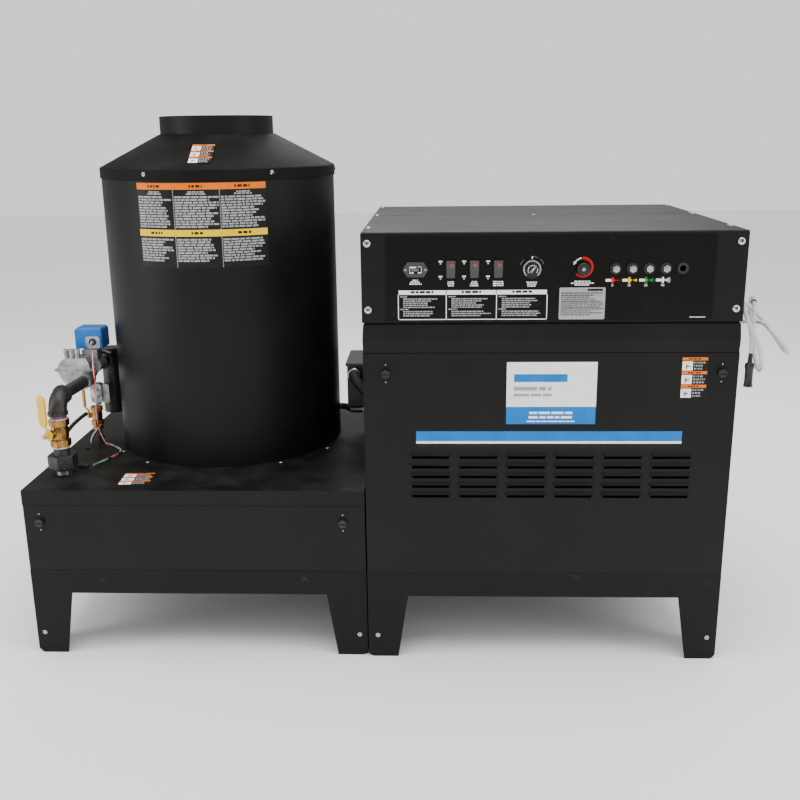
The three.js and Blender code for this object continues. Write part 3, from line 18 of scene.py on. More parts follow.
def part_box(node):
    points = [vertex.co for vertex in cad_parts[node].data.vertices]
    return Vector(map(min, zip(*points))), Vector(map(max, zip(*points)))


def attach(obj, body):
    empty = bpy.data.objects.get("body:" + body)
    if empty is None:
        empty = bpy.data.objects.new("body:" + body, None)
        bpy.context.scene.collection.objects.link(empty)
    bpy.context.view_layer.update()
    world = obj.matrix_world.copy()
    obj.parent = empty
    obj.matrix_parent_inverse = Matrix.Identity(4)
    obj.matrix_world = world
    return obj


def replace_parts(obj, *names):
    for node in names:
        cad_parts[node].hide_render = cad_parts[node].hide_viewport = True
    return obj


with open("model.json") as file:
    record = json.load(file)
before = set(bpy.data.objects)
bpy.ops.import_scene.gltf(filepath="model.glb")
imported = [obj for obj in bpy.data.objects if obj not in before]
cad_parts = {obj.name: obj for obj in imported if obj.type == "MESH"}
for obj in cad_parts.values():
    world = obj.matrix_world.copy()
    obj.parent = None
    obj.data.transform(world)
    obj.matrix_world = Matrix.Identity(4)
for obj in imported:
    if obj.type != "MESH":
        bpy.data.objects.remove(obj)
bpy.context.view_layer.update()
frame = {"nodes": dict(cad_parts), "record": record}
body_of = {node: body for body, nodes in frame["record"]["behaviour"]["bodies"].items() for node in nodes}
MM = 0.001
UP, FRONT, RIGHT = (0, 0, 1), (0, -1, 0), (1, 0, 0)


def mm(x, y, z):
    """A point in millimetres, as a vector in metres."""
    return Vector((x, y, z)) * MM


def route(points):
    """Points in millimetres, as vectors in metres."""
    return [mm(*point) for point in points]


def middle(node):
    """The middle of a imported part's box."""
    low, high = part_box(node)
    return (low + high) / 2


# %% [markdown]
# ## The camera
# A machine this size is looked at from about three metres, from a little above its middle, looking
# down. The camera's place and its three turns are set as one matrix, whose columns are the camera's
# right, its up and the reverse of where it looks, so that no turn depends on the order of the others.

# %% Camera
camera_data = bpy.data.cameras.new("camera")
camera_data.lens = 43.54
camera_place = mm(159.3, -2621.5, 1297.9)
camera = bpy.data.objects.new("camera", camera_data)
bpy.context.scene.collection.objects.link(camera)
bpy.context.scene.camera = camera
camera_yaw, camera_pitch, camera_roll = -0.0383, 0.2690, -0.01136
forward = Vector((math.sin(camera_yaw) * math.cos(camera_pitch),
                  math.cos(camera_yaw) * math.cos(camera_pitch), -math.sin(camera_pitch)))
level = Vector((math.cos(camera_yaw), -math.sin(camera_yaw), 0))
lifted = level.cross(forward)
right_side = level * math.cos(camera_roll) + lifted * math.sin(camera_roll)
top_side = lifted * math.cos(camera_roll) - level * math.sin(camera_roll)
turn = Matrix((right_side, top_side, -forward)).transposed().to_4x4()
camera.matrix_world = Matrix.Translation(camera_place) @ turn
print("camera looks along", [round(value, 3) for value in forward])

# %% [markdown]
# ## Floor and light
# The coat is dark, so it is drawn by what it reflects: a broad soft light over the front, a tall one at
# each side and a pale room. The floor is one large pale sheet, and the room has the same pale grey, so
# the horizon hardly shows. Glossy rays meet a dimmer room, or the black coat would turn grey. All
# lights are area lights, whose soft edges suit sheet metal.

# %% Floor and lights
floor_reach = 14
room_light, room_in_gloss = 1.15, 0.3


def plain_sheet(name, size):
    bm = bmesh.new()
    bmesh.ops.create_grid(bm, x_segments=1, y_segments=1, size=size)
    mesh = bpy.data.meshes.new(name)
    bm.to_mesh(mesh)
    bm.free()
    sheet = bpy.data.objects.new(name, mesh)
    bpy.context.scene.collection.objects.link(sheet)
    return sheet


floor = plain_sheet("floor", floor_reach)
floor_paint = bpy.data.materials.new("floor_paint")
floor_paint.use_nodes = True
floor_shader = floor_paint.node_tree.nodes["Principled BSDF"]
floor_shader.inputs["Base Color"].default_value = (0.86, 0.86, 0.86, 1)
floor_shader.inputs["Roughness"].default_value = 0.9
floor_shader.inputs["Specular IOR Level"].default_value = 0.1
floor.data.materials.append(floor_paint)

world = bpy.data.worlds.new("studio")
bpy.context.scene.world = world
world.use_nodes = True
world.node_tree.nodes["Background"].inputs["Color"].default_value = (1, 1, 1, 1)
seen = world.node_tree.nodes.new("ShaderNodeLightPath")
level_mix = world.node_tree.nodes.new("ShaderNodeMapRange")
level_mix.inputs["To Min"].default_value = room_light
level_mix.inputs["To Max"].default_value = room_in_gloss
world.node_tree.links.new(seen.outputs["Is Glossy Ray"], level_mix.inputs["Value"])
world.node_tree.links.new(level_mix.outputs[0], world.node_tree.nodes["Background"].inputs["Strength"])


def soft_light(name, place, target, width, height, watts):
    data = bpy.data.lights.new(name, "AREA")
    data.shape = "RECTANGLE"
    data.size, data.size_y, data.energy = width, height, watts
    light = bpy.data.objects.new(name, data)
    bpy.context.scene.collection.objects.link(light)
    aim = (Vector(target) - Vector(place)).to_track_quat("-Z", "Y").to_matrix().to_4x4()
    light.matrix_world = Matrix.Translation(place) @ aim


soft_light("key", (0.2, -0.9, 4.2), (0, 0, 0.4), 4.5, 3.5, 170)
soft_light("left_strip", (-3.0, -1.2, 1.6), (-0.4, 0, 0.8), 0.8, 2.4, 35)
soft_light("right_strip", (3.0, -1.4, 1.8), (0.4, 0, 0.8), 0.8, 2.4, 30)
soft_light("back_rim", (0.2, 2.8, 2.8), (0, 0.2, 1.0), 3.0, 1.0, 40)
print("four soft lights")

# %% [markdown]
# ## Finishes: shared effects
# Paint, plastic and rubber differ in colour and gloss, but all have a fine grain, a slow drift in
# tone, dust on what faces up and a few pale scuffs. One node group makes these from Object
# coordinates and puts out a colour, a roughness and a height, and each material places it with its
# own values. A second group does the same for bare metal, with lines brushed along one direction.

# %% Shared node groups


def new_group(name, inputs, outputs):
    group = bpy.data.node_groups.new(name, "ShaderNodeTree")
    for label, kind, value in inputs:
        socket = group.interface.new_socket(label, in_out="INPUT", socket_type=kind)
        socket.default_value = value
    for label, kind in outputs:
        group.interface.new_socket(label, in_out="OUTPUT", socket_type=kind)
    return group, group.nodes.new("NodeGroupInput").outputs, group.nodes.new("NodeGroupOutput").inputs


def wire(tree, kind, settings=(), **sockets):
    """Adds a node, sets its properties, and links or sets its inputs by name or number."""
    node = tree.nodes.new(kind)
    for key, value in dict(settings).items():
        setattr(node, key, value)
    for key, value in sockets.items():
        numbered = key[0] == "i" and key[1:].isdigit()
        socket = node.inputs[int(key[1:]) if numbered else key.replace("_", " ")]
        if isinstance(value, bpy.types.NodeSocket):
            tree.links.new(value, socket)
        else:
            socket.default_value = value
    return node


def maths(tree, operation, a, b=0.5):
    return wire(tree, "ShaderNodeMath", {"operation": operation}, i0=a, i1=b).outputs[0]


def blend(tree, share, a, b):
    return wire(tree, "ShaderNodeMix", {"data_type": "RGBA"}, i0=share, i6=a, i7=b).outputs[2]


def between(tree, value, low, high, to_low=0.0, to_high=1.0):
    return wire(tree, "ShaderNodeMapRange", {"clamp": True}, Value=value, From_Min=low, From_Max=high,
                To_Min=to_low, To_Max=to_high).outputs[0]


def noise(tree, where, scale, detail=3.0, distortion=0.0):
    return wire(tree, "ShaderNodeTexNoise", Vector=where, Scale=scale, Detail=detail,
                Distortion=distortion).outputs["Fac"]


FLOAT, COLOR, VECTOR = "NodeSocketFloat", "NodeSocketColor", "NodeSocketVector"
dust_colour, scuff_colour = (0.19, 0.175, 0.155, 1), (0.3, 0.3, 0.3, 1)

coat_group, given, gives = new_group(
    "coated_surface",
    [("Dark", COLOR, (0, 0, 0, 1)), ("Light", COLOR, (1, 1, 1, 1)), ("Drift", FLOAT, 5),
     ("Grain", FLOAT, 900), ("Rough", FLOAT, 0.4), ("Dust", FLOAT, 0.2), ("Scuff", FLOAT, 0.2)],
    [("Color", COLOR), ("Roughness", FLOAT), ("Height", FLOAT)])
where = coat_group.nodes.new("ShaderNodeTexCoord").outputs
drift = between(coat_group, noise(coat_group, where["Object"], given["Drift"], 4), 0.32, 0.68)
grain = noise(coat_group, where["Object"], given["Grain"], 2)
facing = wire(coat_group, "ShaderNodeSeparateXYZ", i0=where["Normal"]).outputs["Z"]
faces_up = between(coat_group, facing, 0.35, 1)
patches = between(coat_group, noise(coat_group, where["Object"], 14.0, 6), 0.38, 0.72)
dust = maths(coat_group, "MULTIPLY", maths(coat_group, "MULTIPLY", faces_up, patches), given["Dust"])
scuffs = between(coat_group, noise(coat_group, where["Object"], 38.0, 8, 1.6), 0.66, 0.72)
scuffs = maths(coat_group, "MULTIPLY", scuffs, given["Scuff"])
tone = blend(coat_group, drift, given["Dark"], given["Light"])
tone = blend(coat_group, dust, tone, dust_colour)
tone = blend(coat_group, maths(coat_group, "MULTIPLY", scuffs, 0.35), tone, scuff_colour)
rough = maths(coat_group, "ADD", given["Rough"], maths(coat_group, "MULTIPLY", drift, 0.08))
rough = maths(coat_group, "ADD", rough, maths(coat_group, "MULTIPLY", dust, 0.35))
coat_group.links.new(tone, gives["Color"])
rough = maths(coat_group, "ADD", rough, maths(coat_group, "MULTIPLY", scuffs, 0.15))
coat_group.links.new(rough, gives["Roughness"])
coat_group.links.new(grain, gives["Height"])

metal_group, given, gives = new_group(
    "bare_metal",
    [("Dark", COLOR, (0, 0, 0, 1)), ("Light", COLOR, (1, 1, 1, 1)), ("Stain", COLOR, (0.1, 0.08, 0.05, 1)),
     ("Brush", VECTOR, (60, 60, 60)), ("Pits", FLOAT, 300), ("Rough", FLOAT, 0.3), ("Stained", FLOAT, 0.3)],
    [("Color", COLOR), ("Roughness", FLOAT), ("Height", FLOAT)])
where = metal_group.nodes.new("ShaderNodeTexCoord").outputs
drawn = wire(metal_group, "ShaderNodeVectorMath", {"operation": "MULTIPLY"}, i0=where["Object"],
             i1=given["Brush"]).outputs[0]
lines = noise(metal_group, drawn, 1.0, 5)
pits = noise(metal_group, where["Object"], given["Pits"], 4)
stains = between(metal_group, noise(metal_group, where["Object"], 55.0, 6, 0.4), 0.46, 0.66)
stains = maths(metal_group, "MULTIPLY", stains, given["Stained"])
tone = blend(metal_group, between(metal_group, lines, 0.3, 0.7), given["Dark"], given["Light"])
metal_group.links.new(blend(metal_group, stains, tone, given["Stain"]), gives["Color"])
rough = maths(metal_group, "ADD", given["Rough"], maths(metal_group, "MULTIPLY", lines, 0.14))
metal_group.links.new(maths(metal_group, "ADD", rough, maths(metal_group, "MULTIPLY", stains, 0.3)),
                      gives["Roughness"])
metal_group.links.new(maths(metal_group, "ADD", pits, lines), gives["Height"])
print("groups:", coat_group.name, metal_group.name)

# %% [markdown]
# ## Finishes: the materials
# Each finish of the machine is one material on the Principled shader. What is the same all over, such
# as metalness or a clear coat, is set on the shader itself, and the group gives what changes. The
# cabinets have a fine textured powder coat, the control panel a glossy film, and the gas train shows
# malleable iron, brass and cast aluminium next to each other.

# %% Materials
finishes = {}


def material_from(name, group, values, bump, depth, shader_values):
    made = bpy.data.materials.new(name)
    made.use_nodes = True
    tree = made.node_tree
    shader = tree.nodes["Principled BSDF"]
    effect = tree.nodes.new("ShaderNodeGroup")
    effect.node_tree = group
    for key, value in values.items():
        effect.inputs[key].default_value = value
    tree.links.new(effect.outputs["Color"], shader.inputs["Base Color"])
    tree.links.new(effect.outputs["Roughness"], shader.inputs["Roughness"])
    relief = wire(tree, "ShaderNodeBump", Strength=bump, Distance=depth, Height=effect.outputs["Height"])
    tree.links.new(relief.outputs["Normal"], shader.inputs["Normal"])
    for key, value in shader_values.items():
        shader.inputs[key].default_value = value
    finishes[name] = made
    return made


def coated(name, dark, light, rough=0.4, drift=5, grain=900, dust=0.15, scuff=0.15, bump=0.25,
           depth=0.0004, **shader_values):
    values = {"Dark": (*dark, 1), "Light": (*light, 1), "Rough": rough, "Drift": drift, "Grain": grain,
              "Dust": dust, "Scuff": scuff}
    return material_from(name, coat_group, values, bump, depth, shader_values)


def bare(name, dark, light, stain, rough=0.3, brush=(60, 60, 60), pits=300, stained=0.3, bump=0.2,
         depth=0.0004, metallic=1.0, **shader_values):
    values = {"Dark": (*dark, 1), "Light": (*light, 1), "Stain": (*stain, 1), "Rough": rough, "Brush": brush,
              "Pits": pits, "Stained": stained}
    return material_from(name, metal_group, values, bump, depth, {"Metallic": metallic, **shader_values})


def grey(value):
    return (value, value, value)


SATIN = {"Specular IOR Level": 0.2}
coated("powder_coat", (0.0052, 0.0048, 0.0044), (0.0078, 0.0073, 0.0067), rough=0.42, dust=0.06, scuff=0.04,
       bump=0.3, **SATIN)
coated("boiler_black", (0.0055, 0.0053, 0.005), (0.008, 0.0077, 0.0073), rough=0.44, dust=0.04, scuff=0.03,
       bump=0.22, **SATIN)
# Painted light: the hood's paint is a lighter copy of the shell's black, so its upward-facing cone reads
# brighter; its specular is weaker.
coated("hood_coat_painted_light", (0.0075, 0.0071, 0.0066), (0.0105, 0.01, 0.0094), rough=0.55, dust=0.04, scuff=0.03,
       bump=0.22, **{"Specular IOR Level": 0.07})
coated("stand_coat", (0.0036, 0.0033, 0.003), (0.0056, 0.0052, 0.0047), rough=0.46, dust=0.06, scuff=0.12,
       bump=0.3, **SATIN)
# Painted sheen: the lids' paint is a lighter, warmer copy of the powder coat, standing for the light on their
# tops.
coated("lid_coat_painted_sheen", (0.0105, 0.0092, 0.0078), (0.0145, 0.0128, 0.0112), rough=0.42, dust=0.05,
       bump=0.25, **SATIN)
coated("gloss_black", (0.0042, 0.0037, 0.003), (0.006, 0.0053, 0.0045), rough=0.2, grain=300, dust=0.05,
       scuff=0.1, bump=0.02, **{"Specular IOR Level": 0.14})
coated("black_plastic", grey(0.006), grey(0.01), rough=0.34, grain=1500, bump=0.25, dust=0.03)
coated("grey_plastic", grey(0.032), grey(0.048), rough=0.4, grain=1500, bump=0.2)
coated("rubber", grey(0.01), grey(0.018), rough=0.6, grain=1200, bump=0.35, dust=0.1)
coated("yellow_grip", (0.72, 0.4, 0.0), (0.84, 0.5, 0.002), rough=0.26, drift=30, grain=500, bump=0.1,
       dust=0.1, scuff=0.4, **{"Coat Weight": 0.35})
coated("blue_plastic", (0.0, 0.095, 0.36), (0.0, 0.14, 0.5), rough=0.33, drift=20, grain=1500, bump=0.15)
coated("lead_red", (0.5, 0.02, 0.015), (0.7, 0.04, 0.03), rough=0.35, drift=60, dust=0.1)
coated("lead_white", (0.6, 0.5, 0.48), (0.8, 0.7, 0.68), rough=0.4, drift=60, dust=0.1)
coated("lead_green", (0.02, 0.28, 0.1), (0.04, 0.4, 0.16), rough=0.35, drift=60, dust=0.1)
coated("lead_grey", grey(0.2), grey(0.3), rough=0.4, drift=60, dust=0.1)
coated("ceramic_blanket", (0.58, 0.55, 0.5), (0.8, 0.78, 0.73), rough=0.85, drift=30, grain=260, bump=0.9,
       depth=0.003)
coated("motor_paint", (0.05, 0.058, 0.066), (0.075, 0.083, 0.092), rough=0.36, grain=500, dust=0.3)
coated("thread_sealant", (0.52, 0.55, 0.4), (0.74, 0.74, 0.6), rough=0.6, drift=90, grain=400, bump=0.7)
coated("pipe_primer", (0.12, 0.035, 0.12), (0.2, 0.07, 0.19), rough=0.3, drift=80)
bare("black_iron", grey(0.03), grey(0.065), (0.09, 0.045, 0.025), rough=0.36, brush=(90, 90, 90), pits=420,
     stained=0.25, bump=0.4, metallic=0.65)
bare("brass", (0.3, 0.15, 0.04), (0.5, 0.28, 0.085), (0.13, 0.05, 0.018), rough=0.24, brush=(200, 200, 40),
     stained=0.5)
bare("cast_aluminium", grey(0.3), grey(0.5), (0.16, 0.15, 0.14), rough=0.4, pits=520, stained=0.35, bump=0.55,
     metallic=0.9)
bare("bright_steel", grey(0.55), grey(0.75), (0.3, 0.28, 0.25), rough=0.16, brush=(30, 30, 500), stained=0.15,
     bump=0.08)
bare("zinc_plate", (0.5, 0.5, 0.48), (0.72, 0.72, 0.68), (0.3, 0.27, 0.2), rough=0.26, stained=0.3, bump=0.1)
bare("silver_foil", grey(0.5), grey(0.62), (0.4, 0.4, 0.38), rough=0.3, brush=(400, 20, 20), stained=0.2,
     bump=0.04)
ink_colours = {"white": (0.8, 0.8, 0.78), "black": (0.01, 0.01, 0.01), "red": (0.62, 0.004, 0.004),
               "orange": (0.72, 0.15, 0.0), "yellow": (0.8, 0.52, 0.0), "green": (0.0, 0.26, 0.03),
               "blue": (0.0, 0.15, 0.46), "grey": (0.3, 0.3, 0.31)}
for ink_name, colour in ink_colours.items():
    paler = tuple(min(1, value * 1.12 + 0.004) for value in colour)
    coated("ink_" + ink_name, colour, paler, rough=0.36, drift=25, grain=700, bump=0.06, dust=0.05, scuff=0.1,
           **{"Specular IOR Level": 0.15})
print(len(finishes), "finishes")

# %% [markdown]
# Clear vinyl lets light through and shows two bright lines where its wall is seen edge on. A Layer
# Weight node finds those edges, and a paler colour is mixed in there. The window of a rocker switch
# glows very faintly, and it and a small display get plain shaders of their own.

# %% Clear vinyl, lamp and display
vinyl = coated("clear_vinyl", (0.62, 0.65, 0.67), (0.74, 0.76, 0.77), rough=0.2, drift=40, grain=200,
               bump=0.05, dust=0.05, **{"Transmission Weight": 0.55, "IOR": 1.3})
tree = vinyl.node_tree
vinyl_shader = tree.nodes["Principled BSDF"]
# Painted highlight: a paler colour mixed in where the hose's wall is seen edge on.
edge = tree.nodes.new("ShaderNodeLayerWeight")
edge.inputs["Blend"].default_value = 0.35
vinyl_colour = vinyl_shader.inputs["Base Color"].links[0].from_socket
tree.links.new(blend(tree, edge.outputs["Facing"], vinyl_colour, (0.93, 0.94, 0.95, 1)),
               vinyl_shader.inputs["Base Color"])
coated("lamp_red", (0.14, 0.006, 0.006), (0.22, 0.01, 0.01), rough=0.16, drift=120, bump=0.02, dust=0,
       **{"Coat Weight": 0.6, "Emission Color": (0.5, 0.01, 0.01, 1), "Emission Strength": 0.05})
coated("display_glass", (0.07, 0.075, 0.07), (0.1, 0.105, 0.1), rough=0.1, drift=60, bump=0.02, dust=0,
       **{"Coat Weight": 0.8})
slot_finish = {"lead_insulation": "lead_red"}
for node in frame["nodes"].values():
    for number, cad_material in enumerate(node.data.materials):
        slot_name = cad_material.name.split(".")[0]
        node.data.materials[number] = finishes[slot_finish.get(slot_name, slot_name)]
print("every packed node has a finish")

# %% [markdown]
# ## The detergent hose
# A clear vinyl hose leaves a gland in the right end of the header, lies in two loose loops over itself
# and ends in a strainer that drops into a detergent can. It is one open curve through the same points
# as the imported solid's route, counted from the gland, with round cross-section. The gland is screwed
# in, so the hose leaves it straight for a few diameters before it bends.

# %% Hose route
gland_place = mm(866.85, -286.35, 850)
hose_steps = [
    (4.3, 0, 0), (21, 0, 0), (39, -3, 1), (54, -15, 3), (64, -34, 5), (69, -58, 4), (74, -82, -4),
    (84, -101, -19), (100, -107, -37), (114, -95, -54), (121, -68, -61), (118, -41, -52), (106, -22, -30),
    (86, -14, -4), (60, -16, 24), (36, -30, 45), (17, -56, 52), (12, -86, 38), (17, -112, 12),
    (32, -127, -26), (46, -120, -66), (56, -94, -96), (62, -58, -104), (64, -22, -84), (62, 4, -46),
    (57, 12, -2), (49, -2, 40), (41, -36, 63), (34, -72, 60), (29, -97, 32), (26, -104, -2),
    (26, -105, -28), (26, -105, -44), (26, -105, -55)]
hose_radius = 5 * MM


def tube(name, points, radius, finish, sides=6):
    """A round tube on one open curve through the points."""
    data = bpy.data.curves.new(name, "CURVE")
    data.dimensions = "3D"
    data.bevel_depth = radius
    data.bevel_resolution = sides
    data.resolution_u = 10
    data.use_fill_caps = True
    spots = data.splines.new("BEZIER").bezier_points
    spots.add(len(points) - 1)
    for spot, point in zip(spots, points):
        spot.co = point
        spot.handle_left_type = spot.handle_right_type = "AUTO"
    piece = bpy.data.objects.new(name, data)
    bpy.context.scene.collection.objects.link(piece)
    data.materials.append(finishes[finish])
    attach(piece, "machine")
    return piece


hose_points = [gland_place + mm(*step) for step in hose_steps]
hose = tube("vinyl_hose", hose_points, hose_radius, "clear_vinyl", sides=8)
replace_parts(hose, "detergent_hose")
print("hose points:", len(hose_points))

# %% [markdown]
# ## Making a piece
# Every new piece goes through the same last step: its mesh gets a finish, and it rides on the body of
# the part that it belongs to. Sheet metal is folded, so its edges are rounded: the imported solid's mesh
# is copied and merged, flat faces are joined, and a Bevel modifier rounds the edges that are left. The
# rounded edge catches the light as a thin line.

# %% Keep a piece, round the edges of a imported part


def keep(name, bm, finish, body="machine", smooth_under=None):
    """Makes a piece of a bmesh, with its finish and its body."""
    mesh = bpy.data.meshes.new(name)
    bm.to_mesh(mesh)
    bm.free()
    mesh.materials.append(finishes[finish])
    if smooth_under:
        mesh.shade_smooth()
        mesh.set_sharp_from_angle(angle=math.radians(smooth_under))
    piece = bpy.data.objects.new(name, mesh)
    bpy.context.scene.collection.objects.link(piece)
    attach(piece, body)
    return piece


WELD, FLAT_WITHIN = 0.00002, math.radians(1.5)
SHARP_FOLD, SLIGHT_FOLD = 30, 8


def rounded(node, finish, width, segments=2, angle=SHARP_FOLD, smooth_under=None):
    """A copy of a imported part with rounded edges, which stands for it."""
    bm = bmesh.new()
    bm.from_mesh(frame["nodes"][node].data)
    bmesh.ops.remove_doubles(bm, verts=bm.verts, dist=WELD)
    bmesh.ops.dissolve_limit(bm, angle_limit=FLAT_WITHIN, verts=bm.verts, edges=bm.edges)
    for face in bm.faces:
        face.material_index = 0
    piece = keep(node + "_rounded", bm, finish, body_of[node], smooth_under)
    soften = piece.modifiers.new("rolled_edge", "BEVEL")
    soften.limit_method = "ANGLE"
    soften.angle_limit = math.radians(angle)
    soften.width = width * MM
    soften.segments = segments
    soften.use_clamp_overlap = True
    soften.harden_normals = bool(smooth_under)
    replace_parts(piece, node)
    return piece


sheet_metal = {
    "pump_stand": ("stand_coat", 0.7), "heater_wrap": ("powder_coat", 0.6),
    "heater_front_panel": ("powder_coat", 0.8), "heater_deck": ("powder_coat", 1.0),
    "cabinet_left_side": ("powder_coat", 0.7), "cabinet_right_side": ("powder_coat", 0.7),
    "cabinet_rear_panel": ("powder_coat", 0.6), "cabinet_header": ("powder_coat", 1.0),
    "front_panel": ("powder_coat", 0.7), "control_box": ("powder_coat", 0.9),
    "control_panel": ("gloss_black", 0.4), "box_lid_front": ("lid_coat_painted_sheen", 1.0),
    "box_lid_rear": ("lid_coat_painted_sheen", 1.0), "burner_tray": ("stand_coat", 0.6)}
for node, (finish, width) in sheet_metal.items():
    rounded(node, finish, width, angle=SLIGHT_FOLD if node == "cabinet_header" else SHARP_FOLD)
print(len(sheet_metal), "sheet-metal parts have rounded edges")

# %% [markdown]
# ## Turned parts
# The boiler, the knobs, the nozzles and every screw head are round. A profile is drawn in the XZ
# plane and spun about Z with a full spin, its doubles are merged where it meets the axis, and its
# normals are recalculated. The shape is then laid along the direction that it faces.

# %% Turn a profile, lay a shape
AXIS_WELD = 0.000001


def spun(bm, geom, angle, steps, merge=False):
    """Spins about Z through the origin."""
    bmesh.ops.spin(bm, geom=geom, cent=(0, 0, 0), axis=UP, dvec=(0, 0, 0), angle=angle, steps=steps,
                   use_merge=merge, use_duplicate=False)


def turned(profile, steps=96, closed=False):
    """A shape spun about Z from (radius, height) pairs in millimetres. A closed profile makes a wall."""
    bm = bmesh.new()
    verts = [bm.verts.new(mm(radius, 0, height)) for radius, height in profile]
    pairs = list(zip(verts, verts[1:])) + ([(verts[-1], verts[0])] if closed else [])
    edges = [bm.edges.new(pair) for pair in pairs]
    spun(bm, verts + edges, math.tau, steps, merge=True)
    bmesh.ops.remove_doubles(bm, verts=bm.verts, dist=AXIS_WELD)
    bmesh.ops.recalc_face_normals(bm, faces=bm.faces)
    return bm


def laying(place, towards=UP, spin=0.0):
    """The matrix that stands a shape made along Z at a place, along a direction."""
    aim = Vector(UP).rotation_difference(Vector(towards)).to_matrix().to_4x4()
    return Matrix.Translation(place) @ aim @ Matrix.Rotation(spin, 4, "Z")


def laid(bm, place, towards=UP, spin=0.0):
    """The shape itself, moved there."""
    bmesh.ops.transform(bm, matrix=laying(place, towards, spin), verts=bm.verts)
    return bm


def gathered(shapes):
    """Several shapes in one."""
    whole = bmesh.new()
    for bm in shapes:
        part = bpy.data.meshes.new("part")
        bm.to_mesh(part)
        bm.free()
        whole.from_mesh(part)
        bpy.data.meshes.remove(part)
    return whole


# %% [markdown]
# ## The boiler
# The boiler is a rolled sheet with a lapped seam, under a hood that is spun to a cone with a skirt and
# a rolled edge, and carries the flue collar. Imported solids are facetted, and such a big round shows it
# on its outline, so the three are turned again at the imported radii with 192 steps.

# %% Boiler shell, hood and collar
shell_low, shell_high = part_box("boiler_shell")
hood_low, hood_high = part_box("boiler_hood")
collar_low, collar_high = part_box("flue_collar")
boiler_axis = Vector(((shell_low.x + shell_high.x) / 2, (shell_low.y + shell_high.y) / 2, 0))
shell_r = (shell_high.x - shell_low.x) / 2 / MM
hood_r = (hood_high.x - hood_low.x) / 2 / MM
collar_r = (collar_high.x - collar_low.x) / 2 / MM
skirt_top, neck_z, neck_r = 1218, hood_high.z / MM, 154.3
z0, z1 = shell_low.z / MM, shell_high.z / MM
boiler_parts = {
    "boiler_shell": [(shell_r, z0 + 0.6), (shell_r - 0.6, z0), (shell_r - 2, z0), (shell_r - 2, z1),
                     (shell_r, z1)],
    "boiler_hood": [(hood_r, hood_low.z / MM + 0.8), (hood_r, skirt_top - 2), (hood_r - 1.6, skirt_top + 0.6),
                    (neck_r + 0.6, neck_z), (neck_r - 1.4, neck_z), (neck_r - 2, neck_z - 1),
                    (hood_r - 2.6, skirt_top - 1.4), (hood_r - 2, skirt_top - 3),
                    (hood_r - 2, hood_low.z / MM)],
    "flue_collar": [(collar_r, collar_low.z / MM), (collar_r, collar_high.z / MM - 0.8),
                    (collar_r - 0.8, collar_high.z / MM), (collar_r - 1.4, collar_high.z / MM),
                    (collar_r - 2, collar_high.z / MM - 0.8), (collar_r - 2, collar_low.z / MM)]}
for node, profile in boiler_parts.items():
    bm = laid(turned(profile, 192, closed=True), boiler_axis)
    paint = "hood_coat_painted_light" if node == "boiler_hood" else "boiler_black"
    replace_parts(keep(node + "_turned", bm, paint, smooth_under=28), node)
seam = bmesh.new()
seam_turn, seam_width, seam_thick, seam_steps = math.radians(64), math.radians(5), 1.2, 4
seam_middle = mm(shell_r + 0.4, 0, (z0 + z1) / 2 - 20)
upright = Matrix.Translation(seam_middle) @ Matrix.Rotation(math.pi / 2, 4, "X")
bmesh.ops.create_grid(seam, x_segments=1, y_segments=1, size=0.5,
                      matrix=upright @ Matrix.Diagonal((seam_thick * MM, (z1 - z0 - 60) * MM, 1, 1)))
bmesh.ops.rotate(seam, verts=seam.verts, matrix=Matrix.Rotation(seam_turn, 3, "Z"))
spun(seam, seam.verts[:] + seam.edges[:] + seam.faces[:], seam_width, seam_steps)
bmesh.ops.recalc_face_normals(seam, faces=seam.faces)
keep("boiler_lap_seam", laid(seam, boiler_axis), "boiler_black")
print("boiler radius", round(shell_r, 1), "hood", round(hood_r, 1), "collar", round(collar_r, 1))

# %% [markdown]
# ## Printed marks
# The machine carries printed labels and a printed control plate. None of their wording belongs on a
# shared part, so every label keeps its layout and colours, and its text becomes rows of small plain
# bars. A bar is a thin slab. A helper fills a box with rows of bars of word-like lengths from a
# seeded generator.

# %% Slabs of ink and rows of caption bars
wordy = random.Random(7)
INK = 0.25


def word_bars(left, right, top, rows, pitch, height, fill=0.9, centred=False, longest=9):
    """Rows of small bars, as (left, right, low, high) in millimetres."""
    bars = []
    for row in range(rows):
        high = top - row * pitch
        reach = (right - left) * min(1, fill * wordy.uniform(0.72, 1.12))
        start = left + ((right - left - reach) / 2 if centred else 0)
        x = start
        while x < start + reach - 1.5:
            long = min(wordy.uniform(longest * 0.25, longest), start + reach - x)
            bars.append((x, x + long, high - height, high))
            x += long + height * 0.55
    return bars


def slabs(rects, thick=INK):
    bm = bmesh.new()
    for left, right, low, high in rects:
        bmesh.ops.create_cube(bm, size=1, matrix=Matrix.Translation(
            mm((left + right) / 2, (low + high) / 2, thick / 2)) @ Matrix.Diagonal(
                ((right - left) * MM, (high - low) * MM, thick * MM, 1)))
    return bm


def near(x, z, rects):
    """Rectangles given round a spot, in the frame."""
    return [(x + left, x + right, z + low, z + high) for left, right, low, high in rects]


def swung(bm, degrees, x, z):
    """A flat shape turned about its origin, then moved to a spot."""
    bmesh.ops.rotate(bm, verts=bm.verts, matrix=Matrix.Rotation(math.radians(degrees), 3, "Z"))
    bmesh.ops.translate(bm, verts=bm.verts, vec=mm(x, z, 0))
    return bm


def on_front(name, rects, y, ink, body="machine", thick=INK):
    """Slabs given by (left, right, low, high) in the frame, in millimetres, on a front at y."""
    return keep(name, laid(slabs(rects, thick), mm(0, y, 0), FRONT), ink, body)


def column_rects(left, right, low, high, dividers, line):
    """The outline of a table and its dividers."""
    frame_lines = [(left, right, low, low + line), (left, right, high - line, high)]
    return frame_lines + [(x - line / 2, x + line / 2, low, high)
                          for x in (left + line / 2, *dividers, right - line / 2)]


